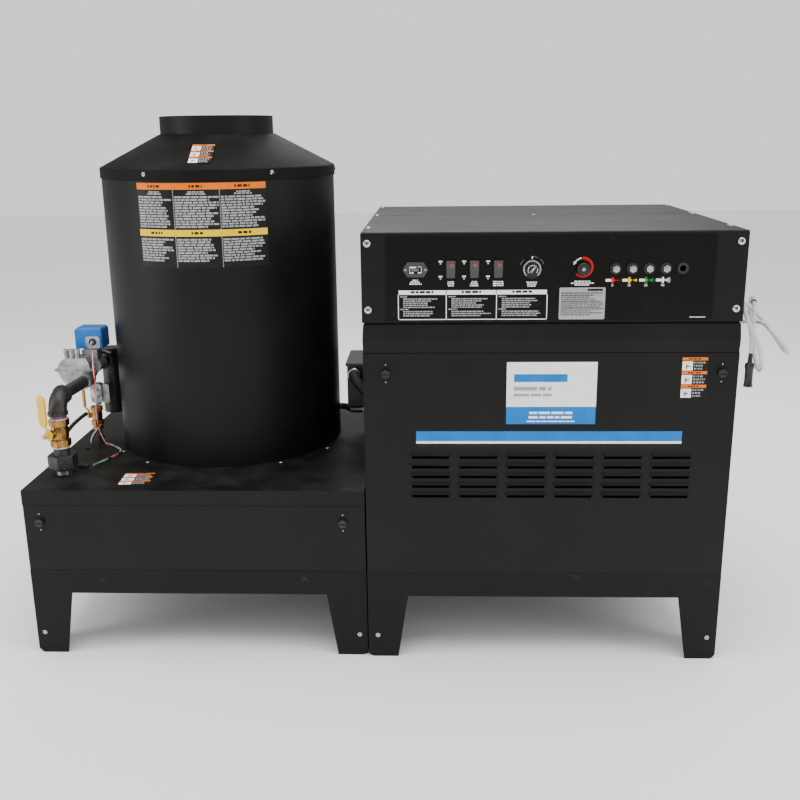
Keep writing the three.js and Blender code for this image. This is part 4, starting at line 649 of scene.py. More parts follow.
print("a row 100 mm long has", len(word_bars(0, 100, 0, 1, 1, 2)), "bars")

# %% [markdown]
# The boiler's label follows its shell. Each bar starts as one upright face that is turned about the
# boiler's axis, so it hugs the round at any width. The label has three columns, an orange heading
# band on top and a yellow one two thirds of the way down.

# %% Boiler label
degrees_per_step = 2.2


def on_boiler(name, rects, radius, ink):
    """Slabs wrapped on the shell: (first angle, last angle) in degrees, (low, high) in millimetres."""
    bm = bmesh.new()
    for first, last, low, high in rects:
        upright = Matrix.Translation(mm(radius + INK / 2, 0, (low + high) / 2)) @ Matrix.Rotation(
            math.pi / 2, 4, "X") @ Matrix.Diagonal((INK * MM, (high - low) * MM, 1, 1))
        upright = Matrix.Rotation(math.radians(first), 4, "Z") @ upright
        start = bmesh.ops.create_grid(bm, x_segments=1, y_segments=1, size=0.5, matrix=upright)["verts"]
        face = start[0].link_faces[0]
        spun(bm, start + list(face.edges) + [face], math.radians(last - first),
             max(1, round((last - first) / degrees_per_step)))
    bmesh.ops.recalc_face_normals(bm, faces=bm.faces)
    return keep(name, laid(bm, boiler_axis), ink)


def bent(bars, first):
    """Bars in millimetres along the round, as angles from the first."""
    return [(first + left * degree, first + right * degree, low, high) for left, right, low, high in bars]


column_edges = (-118.5, -99.5, -78.3, -57)
label_left, label_right = column_edges[0], column_edges[-1]
label_low, label_high = 978, 1186
orange_low, yellow_low, yellow_high = 1170, 1055.5, 1072
rows_start = ((1154, 12), (1050, 9))
degree = math.degrees(1 / shell_r)
ground_r, print_r, top_print_r = shell_r + 0.1, shell_r + 0.35, shell_r + 0.6
on_boiler("boiler_label_ground", [(label_left, label_right, label_low, label_high)], ground_r, "ink_black")
on_boiler("boiler_label_orange", [(label_left, label_right, orange_low, label_high)], print_r, "ink_orange")
on_boiler("boiler_label_yellow", [(label_left, label_right, yellow_low, yellow_high)], print_r, "ink_yellow")
text_bars, heading_bars = [], []
for first, last in zip(column_edges, column_edges[1:]):
    wide = (last - first) / degree
    for top, rows in rows_start:
        text_bars += bent(word_bars(3, wide - 3, top, rows, 6.6, 4.3, fill=0.92, longest=22), first)
    text_bars += bent(word_bars(wide * 0.25, wide * 0.75, orange_low - 4, 2, 5, 3.4, fill=0.8, centred=True,
                                longest=14), first)
    for top in (label_high - 5, yellow_high - 5):
        heading_bars += bent(word_bars(wide * 0.3, wide * 0.7, top, 1, 5, 6, fill=0.85, centred=True,
                                       longest=11), first)
    if last < label_right:
        text_bars.append((last - 0.12, last + 0.12, label_low, orange_low))
on_boiler("boiler_label_text", text_bars, print_r, "ink_grey")
on_boiler("boiler_label_headings", heading_bars, top_print_r, "ink_black")
print("boiler label has", len(text_bars) + len(heading_bars), "bars")

# %% [markdown]
# ## Small caution labels
# The same small label sits on the cone, on the deck and on the louvred panel: three rows, each with a
# coloured heading strip, a white block on the left and small text on the right. Its layout is drawn
# once in a plane and then laid on each surface, on the cone tilted to its slope.

# %% Three-row label


def three_row_label(name, place, width, height, body="machine"):
    """A label with three rows in the plane of the matrix 'place', its lower left corner at the origin."""
    row = height / 3
    strips, whites, words, signs = [], [], [], []
    for number in range(3):
        low = number * row
        strips.append((0.6, width - 0.6, low + row * 0.76, low + row * 0.98))
        whites.append((1, width * 0.42, low + 1, low + row * 0.7))
        signs += word_bars(width * 0.25, width * 0.75, low + row * 0.92, 1, 1, row * 0.1, 1, True, 5)
        signs += [(width * 0.16, width * 0.2, low + row * 0.15, low + row * 0.5),
                  (width * 0.2, width * 0.3, low + row * 0.3, low + row * 0.38)]
        words += word_bars(width * 0.47, width - 2, low + row * 0.66, 3, row * 0.22, row * 0.12, longest=6)
    layers = {"ground": ([(0, width, 0, height)], "ink_black", 0.05), "strips": (strips, "ink_orange", 0.3),
              "blocks": (whites, "ink_white", 0.3), "words": (words, "ink_grey", 0.3),
              "signs": (signs, "ink_black", 0.5)}
    for part, (rects, ink, lift) in layers.items():
        bm = slabs(rects)
        bmesh.ops.translate(bm, vec=mm(0, 0, lift), verts=bm.verts)
        bmesh.ops.transform(bm, matrix=place, verts=bm.verts)
        keep(f"{name}_{part}", bm, ink, body)


def plane_at(corner, along, upward):
    """A matrix whose X runs along one direction, Y along another, and Z out of the surface."""
    x_way, y_way = Vector(along).normalized(), Vector(upward).normalized()
    turn = Matrix((x_way, y_way, x_way.cross(y_way))).transposed().to_4x4()
    return Matrix.Translation(corner) @ turn


deck_low, deck_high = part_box("heater_deck")
front_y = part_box("control_box")[0].y / MM
three_row_label("deck_label", plane_at(Vector((deck_low.x + 0.232, deck_low.y + 0.042, deck_high.z)),
                                       (1, 0.06, 0), (-0.06, 1, 0)), 78, 84)
three_row_label("panel_label", plane_at(mm(735, front_y, 688), RIGHT, UP), 60, 99, "pump_panel")
slope = Vector((0, (hood_r - neck_r), neck_z - skirt_top)).normalized()
cone_turn = Matrix.Rotation(math.radians(2.5), 4, "Z")
cone_spot = Matrix.Translation(boiler_axis) @ cone_turn @ plane_at(
    mm(-28, -hood_r + (hood_r - neck_r) * 0.16, skirt_top + (neck_z - skirt_top) * 0.16 + 1.2), RIGHT, slope)
three_row_label("cone_label", cone_spot, 58, 94)
print("three small labels")

# %% [markdown]
# ## Screws
# A truss head is a low dome with a cross recess, often on a dark washer. The dome is a turned profile,
# and the recess is a black cross laid on its top: painted shade, not a cut hollow. All the screws that
# share a finish and a body are one piece, because a hundred objects of forty faces would only make the
# scene slow.

# %% Screw heads
HEAD_STEPS = 20


def screws(name, spots, towards, radius, finish="bright_steel", body="machine", washer=0.0):
    """Domed heads with a cross, at spots in metres. With a washer radius, dark washers lie under them."""
    heads, recess_shades, washers = [], [], []
    high = arm = radius * 0.42
    dome = [(0, 0), (radius, 0), (radius, high * 0.3), (radius * 0.86, high * 0.68),
            (radius * 0.55, high * 0.94), (0, high)]
    for number, spot in enumerate(spots):
        lift = 0.6 if washer else 0.02
        way = Vector(towards(spot) if callable(towards) else towards)
        seat_at = Vector(spot) + way * lift * MM
        heads.append(laid(turned(dome, HEAD_STEPS), seat_at, way))
        # The recess is painted shade: a black cross on the dome's top, not a cut hollow.
        cross = slabs([(-arm, arm, -arm * 0.26, arm * 0.26), (-arm * 0.26, arm * 0.26, -arm, arm)], 0.3)
        recess_shades.append(laid(cross, seat_at + way * (high - 0.12) * MM, way, number * 0.7))
        if washer:
            flat = [(0, 0), (washer, 0), (washer, 0.35), (washer - 0.3, 0.6), (0, 0.6)]
            washers.append(laid(turned(flat, HEAD_STEPS), Vector(spot) + way * 0.02 * MM, way))
    keep(name, gathered(heads), finish, body, smooth_under=35)
    keep(name + "_recess", gathered(recess_shades), "ink_black", body)
    if washer:
        keep(name + "_washer", gathered(washers), "black_plastic", body, smooth_under=35)


box_low, box_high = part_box("control_box")
box_x = (box_low.x / MM + 15, box_high.x / MM - 17)
box_z = (box_low.z / MM + 30, box_high.z / MM - 21)
screws("box_corner_screws", [mm(x, front_y, z) for x in box_x for z in box_z], FRONT, 8.2, washer=9.6)
lid_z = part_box("box_lid_front")[1].z / MM
lid_seam = (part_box("box_lid_front")[1].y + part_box("box_lid_rear")[0].y) / 2 / MM
lid_spots = [mm(x, y, lid_z) for x in (box_low.x / MM + 11, box_high.x / MM - 11)
             for y in (front_y + 104, front_y + 128, lid_seam - 14, lid_seam + 14, box_high.y / MM - 46)]
screws("lid_screws", lid_spots + [mm(426, lid_seam - 13, lid_z)], UP, 5.2)


def around_boiler(angles, radius, z):
    return [boiler_axis + Matrix.Rotation(math.radians(angle), 3, "Z") @ mm(radius, 0, z) for angle in angles]


def away_from_axis(spot):
    return (Vector(spot) - boiler_axis - Vector((0, 0, spot.z))).normalized()


hood_screw_z = 1207
hood_spots = around_boiler((-173.5, -113.5, -53.7, 6.5, 66.5, 126.5), hood_r, hood_screw_z)
screws("hood_screws", hood_spots, away_from_axis, 5.4, washer=6.2)
heater_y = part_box("heater_front_panel")[0].y / MM
for node in ("heater_latch_left", "heater_latch_right", "panel_latch_left", "panel_latch_right"):
    spot = middle(node) / MM
    sheet_y, owner = (heater_y, "heater_panel") if "heater" in node else (front_y, "pump_panel")
    screws(node + "_screws", [mm(spot.x, sheet_y, spot.z + 21), mm(spot.x, sheet_y, spot.z - 21)], FRONT, 1.7,
           "zinc_plate", owner)
legs = [mm(x, front_y, 60) for x in (11, 843)] + [mm(x, heater_y, 58) for x in (-36, -856)]
screws("leg_bolts", legs, FRONT, 5.6, "zinc_plate", washer=7.4)
deck_spots = around_boiler((-146, -123, -57, -28), shell_r + 17, deck_high.z / MM)
screws("deck_bolts", deck_spots, UP, 5.8, "zinc_plate", washer=7.2)
print("screws are on")

# %% [markdown]
# ## The control plate
# The plate is a glossy film with white print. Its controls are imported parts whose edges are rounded
# here, and the print is laid on the plate in front of it: captions, an index, a table of instructions
# whose text is plain bars, and a foil rating plate. The red crescent round the metering knob widens
# towards the top, so it is made of short slabs whose width grows along the turn.

# %% Print on the control plate
plate_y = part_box("control_panel")[0].y / MM + 2.5
control_z = middle("metering_knob").z / MM
meter_at, dial_at, valve_at = (middle(node).x / MM
                               for node in ("hour_meter", "thermostat_knob", "metering_knob"))
rocker_nodes = {f"{use}_switch": f"{use}_rocker" for use in ("burner", "pump", "power")}
rocker_at = [middle(node).x / MM for node in rocker_nodes]
print_white = []


def on_plate(name, rects, ink, lift=0.0):
    """Flat print on the control plate, lifted off it where it lies on other print."""
    return on_front(name, rects, plate_y - lift, ink)


def laid_on_plate(name, shapes, ink, y=None, body="machine"):
    """Shapes drawn in the plate's plane, as one piece."""
    return keep(name, laid(gathered(shapes), mm(0, plate_y if y is None else y, 0), FRONT), ink, body)


def caption(x, top, widths, pitch=4.4, height=2.7):
    for row, width in enumerate(widths):
        print_white.extend(word_bars(x - width / 2, x + width / 2, top - row * pitch, 1, pitch, height,
                                     fill=1, centred=True, longest=8))


caption(meter_at, control_z - 23, (18, 28, 38))
for x, widths in zip(rocker_at, ((14, 15, 15), (15, 18, 24), (24, 24, 26))):
    caption(x, control_z - 27, widths)
    for high in (20, -14.5):
        print_white += near(x, control_z + high, [(-28, -19.5, -3.2, 0), (-25, -22.4, -8, -5.4)])
caption(dial_at, control_z - 29, (24, 24, 24))
caption(valve_at, control_z - 27.5, (38, 52, 46), 4.2)
print_white.append((dial_at - 1.3, dial_at + 1.3, control_z + 23.5, control_z + 29))
caption(762, 883, (44,), 3, 1.6)
on_plate("plate_captions", print_white, "ink_white")

table_left, table_right, table_high = 72, 417, 949
table_box = (table_left, table_right, 878, table_high)
table_columns = (184, 300)
heading_band = (table_left, table_right, table_high - 12, table_high)
on_plate("table_lines", column_rects(*table_box, table_columns, 1.8) + [heading_band], "ink_white")
table_words, table_heads = [], []
for left, right in zip((table_left, *table_columns), (*table_columns, table_right)):
    table_heads += word_bars(left + 30, right - 30, 945.6, 1, 5, 5, fill=1, centred=True, longest=14)
    table_words += word_bars(left + 5, left + 32, 933.5, 1, 4, 2.4, fill=0.8, longest=10)
    table_words += word_bars(left + 12, right - 4, 928.6, 5, 4.9, 2.7, fill=0.78, longest=11)
    table_words += word_bars(left + 5, left + 32, 904, 1, 4, 2.4, fill=0.8, longest=10)
    table_words += word_bars(left + 12, right - 4, 899, 3, 4.9, 2.7, fill=0.82, longest=11)
on_plate("table_text", table_words, "ink_grey")
on_plate("table_headings", table_heads, "ink_black", INK)
print(len(print_white) + len(table_words), "bars of print")

# %% [markdown]
# The rating plate is a thin foil with rounded corners and rows of bars. The red crescent says which way
# the metering knob opens, and a white arrow ends it. Both lie on circles about the knob, so one helper
# makes short slabs along a turn, between an inner and an outer radius that may change on the way.

# %% Rating plate, red crescent and arrow
rating_box = (444, 549, 878, 952)
foil_thick = 0.5


def round_cornered(rect, thick, radius):
    """A slab whose four short edges are rounded."""
    bm = slabs([rect], thick)
    corners = [edge for edge in bm.edges if abs(edge.verts[0].co.z - edge.verts[1].co.z) > thick * MM / 2]
    bmesh.ops.bevel(bm, geom=corners, offset=radius * MM, offset_type="OFFSET", segments=4, profile=0.5,
                    affect="EDGES", material=-1)
    return bm


foil = round_cornered(rating_box, foil_thick, 3)
keep("rating_plate", laid(foil, mm(0, plate_y, 0), FRONT), "silver_foil")
rating_words = word_bars(448, 546, 940, 12, 4.6, 2.0, fill=0.93, longest=12) + [(508, 543, 944, 949)]
rating_words += [(450, 545, z, z + 0.4) for z in (941.6, 932.4, 918.6, 904.8)]
on_plate("rating_words", rating_words, "ink_black", foil_thick)


def arc_slabs(x, z, start, end, radius_of, steps):
    """Short slabs on a circle: radius_of(share) gives the inner and outer radius along the turn."""
    parts = []
    for step in range(steps):
        share = (step + 0.5) / steps
        inner, outer = radius_of(share)
        half = outer * math.radians(abs(end - start)) / steps * 0.56
        spoke = slabs([(inner, outer, -half, half)])
        parts.append(swung(spoke, start + (end - start) * share, x, z))
    return parts


crescent = arc_slabs(valve_at, control_z + 3, 92, -137,
                     lambda share: (17.5 + share * 2, 24.5 - share * 1.8), 60)
laid_on_plate("metering_crescent", crescent, "ink_red")
arrow = arc_slabs(valve_at, control_z + 3, 100, 146, lambda share: (20.3, 23.3), 16)
arrow += arc_slabs(valve_at, control_z + 3, 146, 164,
                   lambda share: (18 + share * 3.4, 25.6 - share * 3.4), 10)
laid_on_plate("metering_arrow", arrow, "ink_white")
guard_arcs = [part for start, end in ((22, 50), (62, 88), (132, 160))
              for part in arc_slabs(dial_at, control_z, start, end, lambda share: (28.5, 29.1), 10)]
laid_on_plate("dial_guard_arcs", guard_arcs, "ink_grey")
print("rating plate and crescent are on")

# %% [markdown]
# Under each nozzle a small picture says what it sprays: a white nozzle body, a collar in the nozzle's
# colour and a fan that widens from a straight jet to forty degrees, with the angle as a plain number.
# The numbers are text, turned into a mesh before they are laid in place.

# %% Nozzle pictures
nozzle_looks = {"nozzle_0_degree": ("red", 0, "0"), "nozzle_15_degree": ("yellow", 15, "15"),
                "nozzle_25_degree": ("green", 25, "25"), "nozzle_40_degree": ("white", 40, "40")}


def number_mesh(name, text, size, place, finish):
    curve = bpy.data.curves.new(name + "_text", "FONT")
    curve.body, curve.size, curve.extrude, curve.align_x = text, size * MM, INK / 2 * MM, "CENTER"
    holder = bpy.data.objects.new(name + "_text", curve)
    bpy.context.scene.collection.objects.link(holder)
    mesh = bpy.data.meshes.new_from_object(holder)
    bpy.data.objects.remove(holder)
    bm = bmesh.new()
    bm.from_mesh(mesh)
    bpy.data.meshes.remove(mesh)
    return keep(name, laid(bm, place, FRONT), finish)


white_bodies = []
for node, (ink, spread, text) in nozzle_looks.items():
    x, z = middle(node).x / MM, control_z - 26.8
    white_bodies += near(x, z, [(-21, -9.5, -3, 3), (-9.5, -7.6, -2, 2)])
    pieces = [slabs(near(x, z, [(-7.6, -3.2, -7, 7), (-3.2, -0.5, -2.4, 2.4)]))]
    for share in ((0,) if spread == 0 else (-0.5, -0.25, 0, 0.25, 0.5)):
        pieces.append(swung(slabs([(0, 12.5, -0.45, 0.45)]), spread * share * 1.5, x - 0.5, z))
    laid_on_plate(node + "_picture", pieces, "ink_" + ink)
    number_mesh(node + "_number", text, 8, mm(x - 5.5, plate_y - INK / 2, control_z - 41), "ink_white")
on_plate("nozzle_picture_bodies", white_bodies, "ink_white")
print("nozzle pictures are on")

# %% [markdown]
# ## The controls
# The meter has a window with a frame of white print, each rocker a red window in its upper half, the
# thermostat knob a ring of ticks and a pointer, and the metering knob a bright screw in its middle.
# Marks on a part that turns ride on that part's body.

# %% Hour meter, rockers, knobs and nozzles
rounded("hour_meter", "grey_plastic", 1.4, 3)
meter_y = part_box("hour_meter")[0].y / MM
meter_marks = [(-13.6, 2, 4.6, 7.6), (5, 14, 6.6, 7.6), (13, 14, -6, 7.6), (-13.6, -12.8, -4, 3.4),
               (-13.6, -4, -7.6, -5.4), (5.5, 13, -7.6, -5.4)]
for name, rects, y, finish in (("window", [(-15, 15, -8.4, 8.4)], meter_y, "gloss_black"),
                               ("display", [(-10, 8, -3.4, 3.4)], meter_y - INK, "display_glass"),
                               ("marks", meter_marks, meter_y - INK, "ink_white")):
    on_front("meter_" + name, near(meter_at, control_z, rects), y, finish)
screws("meter_screws", route([(meter_at + side * 23, meter_y, control_z) for side in (-1, 1)]), FRONT, 2.1,
       "zinc_plate")
rocker_lean = math.radians(14.2)
for node, body in rocker_nodes.items():
    rounded(node, "grey_plastic", 1.0, 3)
    x = middle(node).x / MM
    window_plane = plane_at(mm(x, plate_y - 4.9, control_z + 9.3), RIGHT, (0, -math.sin(rocker_lean),
                                                                          math.cos(rocker_lean)))
    for part, rect, finish, thick in (("bezel", (-4.6, 8.2, -5.2, 6.8), "black_plastic", 0.3),
                                      ("window", (-3.6, 7.2, -4.2, 5.8), "lamp_red", 0.7)):
        bm = slabs([rect], thick)
        bmesh.ops.transform(bm, matrix=window_plane, verts=bm.verts)
        keep(f"{node}_{part}", bm, finish, body)
rounded("thermostat_knob", "black_plastic", 0.5, smooth_under=35)
rounded("metering_knob", "black_plastic", 1.2, 3, smooth_under=35)
dial_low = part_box("thermostat_knob")[0].y / MM
skirt_depth = 14.95
dial_ticks = [part for turn_to in range(-45, 226, 9) for part in
              arc_slabs(dial_at, control_z, turn_to - 1.4, turn_to + 1.4, lambda share: (17.6, 20.4), 1)]
laid_on_plate("dial_ticks", dial_ticks, "ink_white", dial_low + skirt_depth, "thermostat")
face_marks = arc_slabs(dial_at, control_z, 130, 215, lambda share: (10.2, 11.4), 14)
face_marks += arc_slabs(dial_at, control_z, -35, 20, lambda share: (10.2, 11.4), 10)
face_marks += [part for turn_to in (50, 70, 90, 110) for part in
               arc_slabs(dial_at, control_z, turn_to - 4, turn_to + 4, lambda share: (9.4, 11.4), 2)]
pointer = swung(slabs([(-8, 7, -1.1, 1.1), (-8, -2, -1.7, 1.7)]), 48, dial_at, control_z)
laid_on_plate("dial_pointer", face_marks + [pointer], "ink_white", dial_low, "thermostat")
knob_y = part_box("metering_knob")[0].y / MM
screws("metering_knob_screw", [mm(valve_at, knob_y, control_z)], FRONT, 3.6, body="metering")
knob_groove = turned([(8, 0), (9.2, 0), (9.2, 0.3), (8, 0.3)], 48, closed=True)
keep("metering_knob_groove", laid(knob_groove, mm(valve_at, knob_y, control_z), FRONT), "grey_plastic",
     "metering", smooth_under=35)
for node in nozzle_looks:
    rounded(node, "bright_steel", 0.7, 3, smooth_under=25)
rounded("nozzle_holders", "rubber", 0.8, 3, smooth_under=35)
print("controls are dressed")

# %% [markdown]
# ## The louvred panel's sign and stripe
# A sign plate with a white field over a blue one is stuck to the panel, above a stripe of blue, white
# and black. Nothing on the sign is carried over but its two fields: a few plain bars stand for print.

# %% Sign and stripe
sign_left, sign_right, sign_low, sign_high = 327, 539, 624, 776
field_z, sign_thick = 667, 0.8
sign_y = front_y - sign_thick
for colour, low, high in (("white", field_z, sign_high), ("blue", sign_low, field_z)):
    on_front("sign_" + colour, [(sign_left, sign_right, low, high)], front_y, "ink_" + colour, "pump_panel",
             thick=sign_thick)
on_front("sign_bars_blue", [(344, 470, 728, 747)], sign_y, "ink_blue", "pump_panel")
on_front("sign_bars_grey", word_bars(344, 468, 716, 1, 8, 9, fill=0.95, longest=60)
         + word_bars(344, 458, 699, 1, 8, 6, fill=0.95, longest=40), sign_y, "ink_grey", "pump_panel")
on_front("sign_bars_white", word_bars(380, 486, 655, 1, 8, 6, fill=0.9, centred=True, longest=45)
         + word_bars(376, 490, 644, 1, 8, 6, fill=0.9, centred=True, longest=30)
         + word_bars(372, 494, 632.5, 1, 6, 3, fill=0.95, centred=True, longest=26), sign_y, "ink_white",
         "pump_panel")
for colour, low, high in (("black", 565, 575), ("white", 575, 581), ("blue", 581, 606)):
    on_front("stripe_" + colour, [(112, 746, low, high)], front_y, "ink_" + colour, "pump_panel", thick=0.4)
print("sign and stripe are on")

# %% [markdown]
# ## The gas train
# Gas comes up through the deck, passes a union, a ball valve and an elbow, and enters a cast valve body
# with a blue actuator on its column. Castings get wider, rounder edges than sheet metal. What joins
# them shows on the real train, so threads, sealant and primer are turned as small rings.

# %% Gas train: castings and fittings
castings = {
    "gas_union": ("black_iron", 1.2), "inlet_ball_valve": ("brass", 1.3),
    "inlet_valve_lever": ("yellow_grip", 1.8), "gas_elbow": ("black_iron", 0.9),
    "gas_pipe": ("black_iron", 0.5), "gas_valve_body": ("cast_aluminium", 1.6),
    "gas_valve_actuator": ("blue_plastic", 2.2),
    "burner_gas_pipe": ("black_iron", 0.6),
    "pilot_regulator": ("cast_aluminium", 1.3), "pilot_ball_valve": ("brass", 0.8),
    "pilot_valve_lever": ("yellow_grip", 1.2)}
for node, (finish, width) in castings.items():
    rounded(node, finish, width, 3, smooth_under=40)


def ring(name, place, towards, profile, finish, body="machine", steps=40):
    bm = laid(turned(profile, steps, closed=True), place, towards)
    return keep(name, bm, finish, body, smooth_under=40)


riser_at = Vector((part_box("gas_union")[0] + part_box("gas_union")[1]) / 2) / MM
thread_pitch = 2.1
threads = [(16.5, 0.6)]
for turn_no in range(6):
    threads += [(17.0, 0.6 + turn_no * thread_pitch), (18.2, 1.6 + turn_no * thread_pitch)]
threads += [(17.0, 13.2), (16.5, 13.2)]
ring("riser_threads", mm(riser_at.x, riser_at.y, 450), UP, threads, "zinc_plate")
valve_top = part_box("inlet_ball_valve")[1].z / MM
union_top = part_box("gas_union")[1].z / MM
bead = [(19, -1.6), (22.6, -1.9), (23.6, -0.4), (23.2, 1.2), (19, 1.4)]
ring("sealant_below_valve", mm(riser_at.x, riser_at.y, union_top - 0.2), UP,
     [(r + 0.4, z) for r, z in bead], "thread_sealant")
ring("sealant_above_valve", mm(riser_at.x, riser_at.y, valve_top + 1.2), UP, [(r - 0.6, z) for r, z in bead],
     "thread_sealant")
ring("primer_above_valve", mm(riser_at.x, riser_at.y, valve_top + 2.5), UP,
     [(16.8, 0), (20.6, 0), (20.6, 6), (16.8, 6)], "pipe_primer")
pipe_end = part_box("gas_pipe")[1].y / MM
ring("sealant_at_boss", mm(-798.4, pipe_end + 0.8, middle("gas_pipe").z / MM), (0.0673, 0.9977, 0),
     [(16.9, -3), (18.6, -2.6), (19.2, -1), (16.9, -0.6)], "bright_steel")
body_low, body_high = (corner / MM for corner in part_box("gas_valve_body"))
rim_spots = [mm(x, y, 687.1) for x in (-867, -832, -790) for y in (body_low.y + 8, body_high.y - 8)
             if not (x > -800 and y > -30)]
screws("gas_valve_rim_screws", rim_spots[:4], UP, 3.2, "zinc_plate")
towers = [mm(x, -68.35, body_high.z) for x in (-851.15, -835.65, -820.15)]
tower_cap = [(0, 0), (7.2, 0), (7.2, 2.2), (6, 3), (3.2, 3), (3.2, 1.6), (0, 1.6)]
caps = [laid(turned(tower_cap, 28), spot + mm(0, 0, 0.05)) for spot in towers]
keep("gas_valve_tower_caps", gathered(caps), "bright_steel", smooth_under=35)
print(len(castings), "castings")

# %% [markdown]
# The actuator has a bright cover plate with a grommet where its leads come out, the pilot regulator a
# round bright lid, and the ball valve's lever is held by a nut on the stem. The nut rides on the
# lever's body, so it turns with it.

# %% Gas train: conduit plate, regulator cover, valve stem
actuator_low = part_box("gas_valve_actuator")[0] / MM
plate_x, plate_front = -788.15, actuator_low.y
cover = round_cornered((plate_x - 20, plate_x + 20, actuator_low.z + 1, actuator_low.z + 35), 1.2, 6)
keep("conduit_cover", laid(cover, mm(0, plate_front + 3.9, 0), FRONT), "silver_foil")
ring("conduit_grommet", mm(plate_x, plate_front + 2.4, 751.1), FRONT,
     [(5, 0), (10.2, 0), (10.2, 1.6), (8.8, 3), (6.4, 3), (5, 2)], "rubber")
reg_low, reg_high = (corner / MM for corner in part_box("pilot_regulator"))
reg_x, reg_z = reg_low.x + 16, (reg_low.z + reg_high.z) / 2
ring("regulator_cover", mm(reg_x, reg_low.y - 0.05, reg_z + 3), FRONT,
     [(0.5, 0), (14, 0), (14, 1.4), (12.6, 2.4), (0.5, 2.4)], "silver_foil")
screws("regulator_screw", [mm(reg_x + 4, reg_low.y - 2.5, reg_z + 12)], FRONT, 2, "black_plastic")
stem_way = Vector((-0.5, -0.866, 0)).normalized()
stem_at = mm(riser_at.x, riser_at.y, 563.5) + stem_way * 49 * MM
nut = turned([(0, 0), (7.4, 0), (7.4, 3.4), (6.4, 4.4), (0, 4.4)], 6)
keep("inlet_stem_nut", laid(nut, stem_at, stem_way), "zinc_plate", "inlet_lever")
print("plate, cover and nut are on")

# %% [markdown]
# ## Wires, loom and pilot tube
# Two thin leads leave the actuator's grommet twisted together, hang down to the deck, run round a
# loose loop there and enter a black loom that climbs behind the valve. A twist is two curves that
# wind round one shared route, half a turn apart. Colours change where the leads are spliced.

# %% Leads and loom
lead_route = [(-788.15, -36.65, 751.1), (-788.15, -42.65, 751.1), (-784.15, -56.65, 741.1),
              (-778.15, -74.35, 722), (-770.15, -93.35, 690), (-768.15, -99.35, 650), (-772.15, -95.35, 600),
              (-779.15, -79.35, 548), (-783.15, -58.35, 496), (-773.15, -46.35, 462),
              (-742.15, -54.35, 454.5), (-718.15, -82.35, 454.5),
              (-714.15, -116.35, 454.5), (-728.15, -156.35, 454.5),
              (-743.15, -191.35, 454.5), (-755.15, -218.35, 454.5)]


LEAD_RADIUS, LEAD_WIND, TURN_PER_LEG, STEPS_PER_LEG = 1.35, 1.45, 2.4, 5


def twisted(name, way_points, start_turn, finish):
    """One strand that winds round a route at a fixed distance."""
    strand = []
    line = route(way_points)
    for leg, (here, there) in enumerate(zip(line, line[1:])):
        for step in range(STEPS_PER_LEG):
            share = step / STEPS_PER_LEG
            way = (there - here).normalized()
            side = way.orthogonal().normalized()
            turn_now = Matrix.Rotation(start_turn + (leg + share) * TURN_PER_LEG, 3, way)
            strand.append(here.lerp(there, share) + turn_now @ side * LEAD_WIND * MM)
    return tube(name, strand, LEAD_RADIUS * MM, finish, sides=3)


lead_parts = [("lead_drop", lead_route[:11], "lead_red", "lead_white"),
              ("lead_back", lead_route[9:13], "lead_grey", "lead_grey"),
              ("lead_side", lead_route[12:14], "lead_red", "lead_grey"),
              ("lead_front", lead_route[13:], "lead_green", "lead_grey")]
for name, way_points, first, second in lead_parts:
    for strand_name, turn_from, finish in (("a", 0, first), ("b", math.pi, second)):
        strand = twisted(f"{name}_{strand_name}", way_points, turn_from, finish)
        if name == "lead_drop" and strand_name == "a":
            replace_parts(strand, "valve_leads")
splices = gathered([laid(turned([(0, -5), (3, -5), (3.2, -4), (3.2, 4), (3, 5), (0, 5)], 14), mm(*spot), way)
                    for spot, way in ((lead_route[12], (0.2, -1, 0)), (lead_route[13], (-0.4, -1, 0)))])
keep("lead_splices", splices, "ink_black", smooth_under=40)
loom_route = [(-759.15, -228.35, 456.6), (-780.15, -220.35, 456.6), (-814.15, -200.35, 458.6),
              (-846.15, -190.35, 472.5), (-854.15, -170.35, 498.5), (-848.15, -116.35, 522.5),
              (-838.15, -56.35, 536.5), (-832.15, -16.35, 540.5)]
loom = tube("black_loom", route(loom_route), 5.3 * MM, "rubber")
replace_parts(loom, "deck_conduit")
pilot_route = [(-800, -6, 500), (-806, -16, 492), (-816, -26, 476), (-820, -28, 462), (-820, -28, 450.5)]
tube("pilot_tube", route(pilot_route), 3.2 * MM, "zinc_plate")
ring("pilot_tube_nut", mm(-800, -6, 500), (0.6, 1, 0.8), [(3, -5), (5.6, -5), (5.6, 4), (3, 4)], "brass",
     steps=6)
print("leads, loom and pilot tube are laid")

# %% [markdown]
# ## Between the cabinets
# A black float tank hangs on the pump cabinet's side, and two hoses cross the gap: a ribbed clamp holds
# the wide suction hose, and the pressure hose has a bright crimped sleeve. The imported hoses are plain
# solids, so curves along the same routes take their place.

# %% Tank, hoses and clamps
rounded("float_tank", "black_plastic", 2.6, 3, smooth_under=40)
suction = [(-70.45, 33.2, 644), (-70.45, 22, 644), (-70.45, 8, 643), (-62, -10, 634), (-46, -20, 618),
           (-23.15, -24.35, 598), (-7.15, -24.35, 597), (20, -24.35, 597), (56.85, -24.35, 597)]
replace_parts(tube("suction_hose_tube", route(suction), 14.8 * MM, "rubber"), "suction_hose")
clamp = [(14.6, -6)]
for step in range(6):
    clamp += [(17.2, -6 + step * 2), (16.4, -5 + step * 2)]
ring("suction_hose_clamp", mm(-70.45, 20, 644), (0, 1, 0), clamp + [(17.2, 6), (14.6, 6)], "zinc_plate")
pressure = [(-121.15, 100.65, 529), (-108, 100.65, 529), (-98, 92, 529), (-88, 75.5, 529), (-72, 73.65, 529),
            (-23.15, 73.65, 529), (-7.15, 73.65, 529), (46.85, 73.65, 529)]
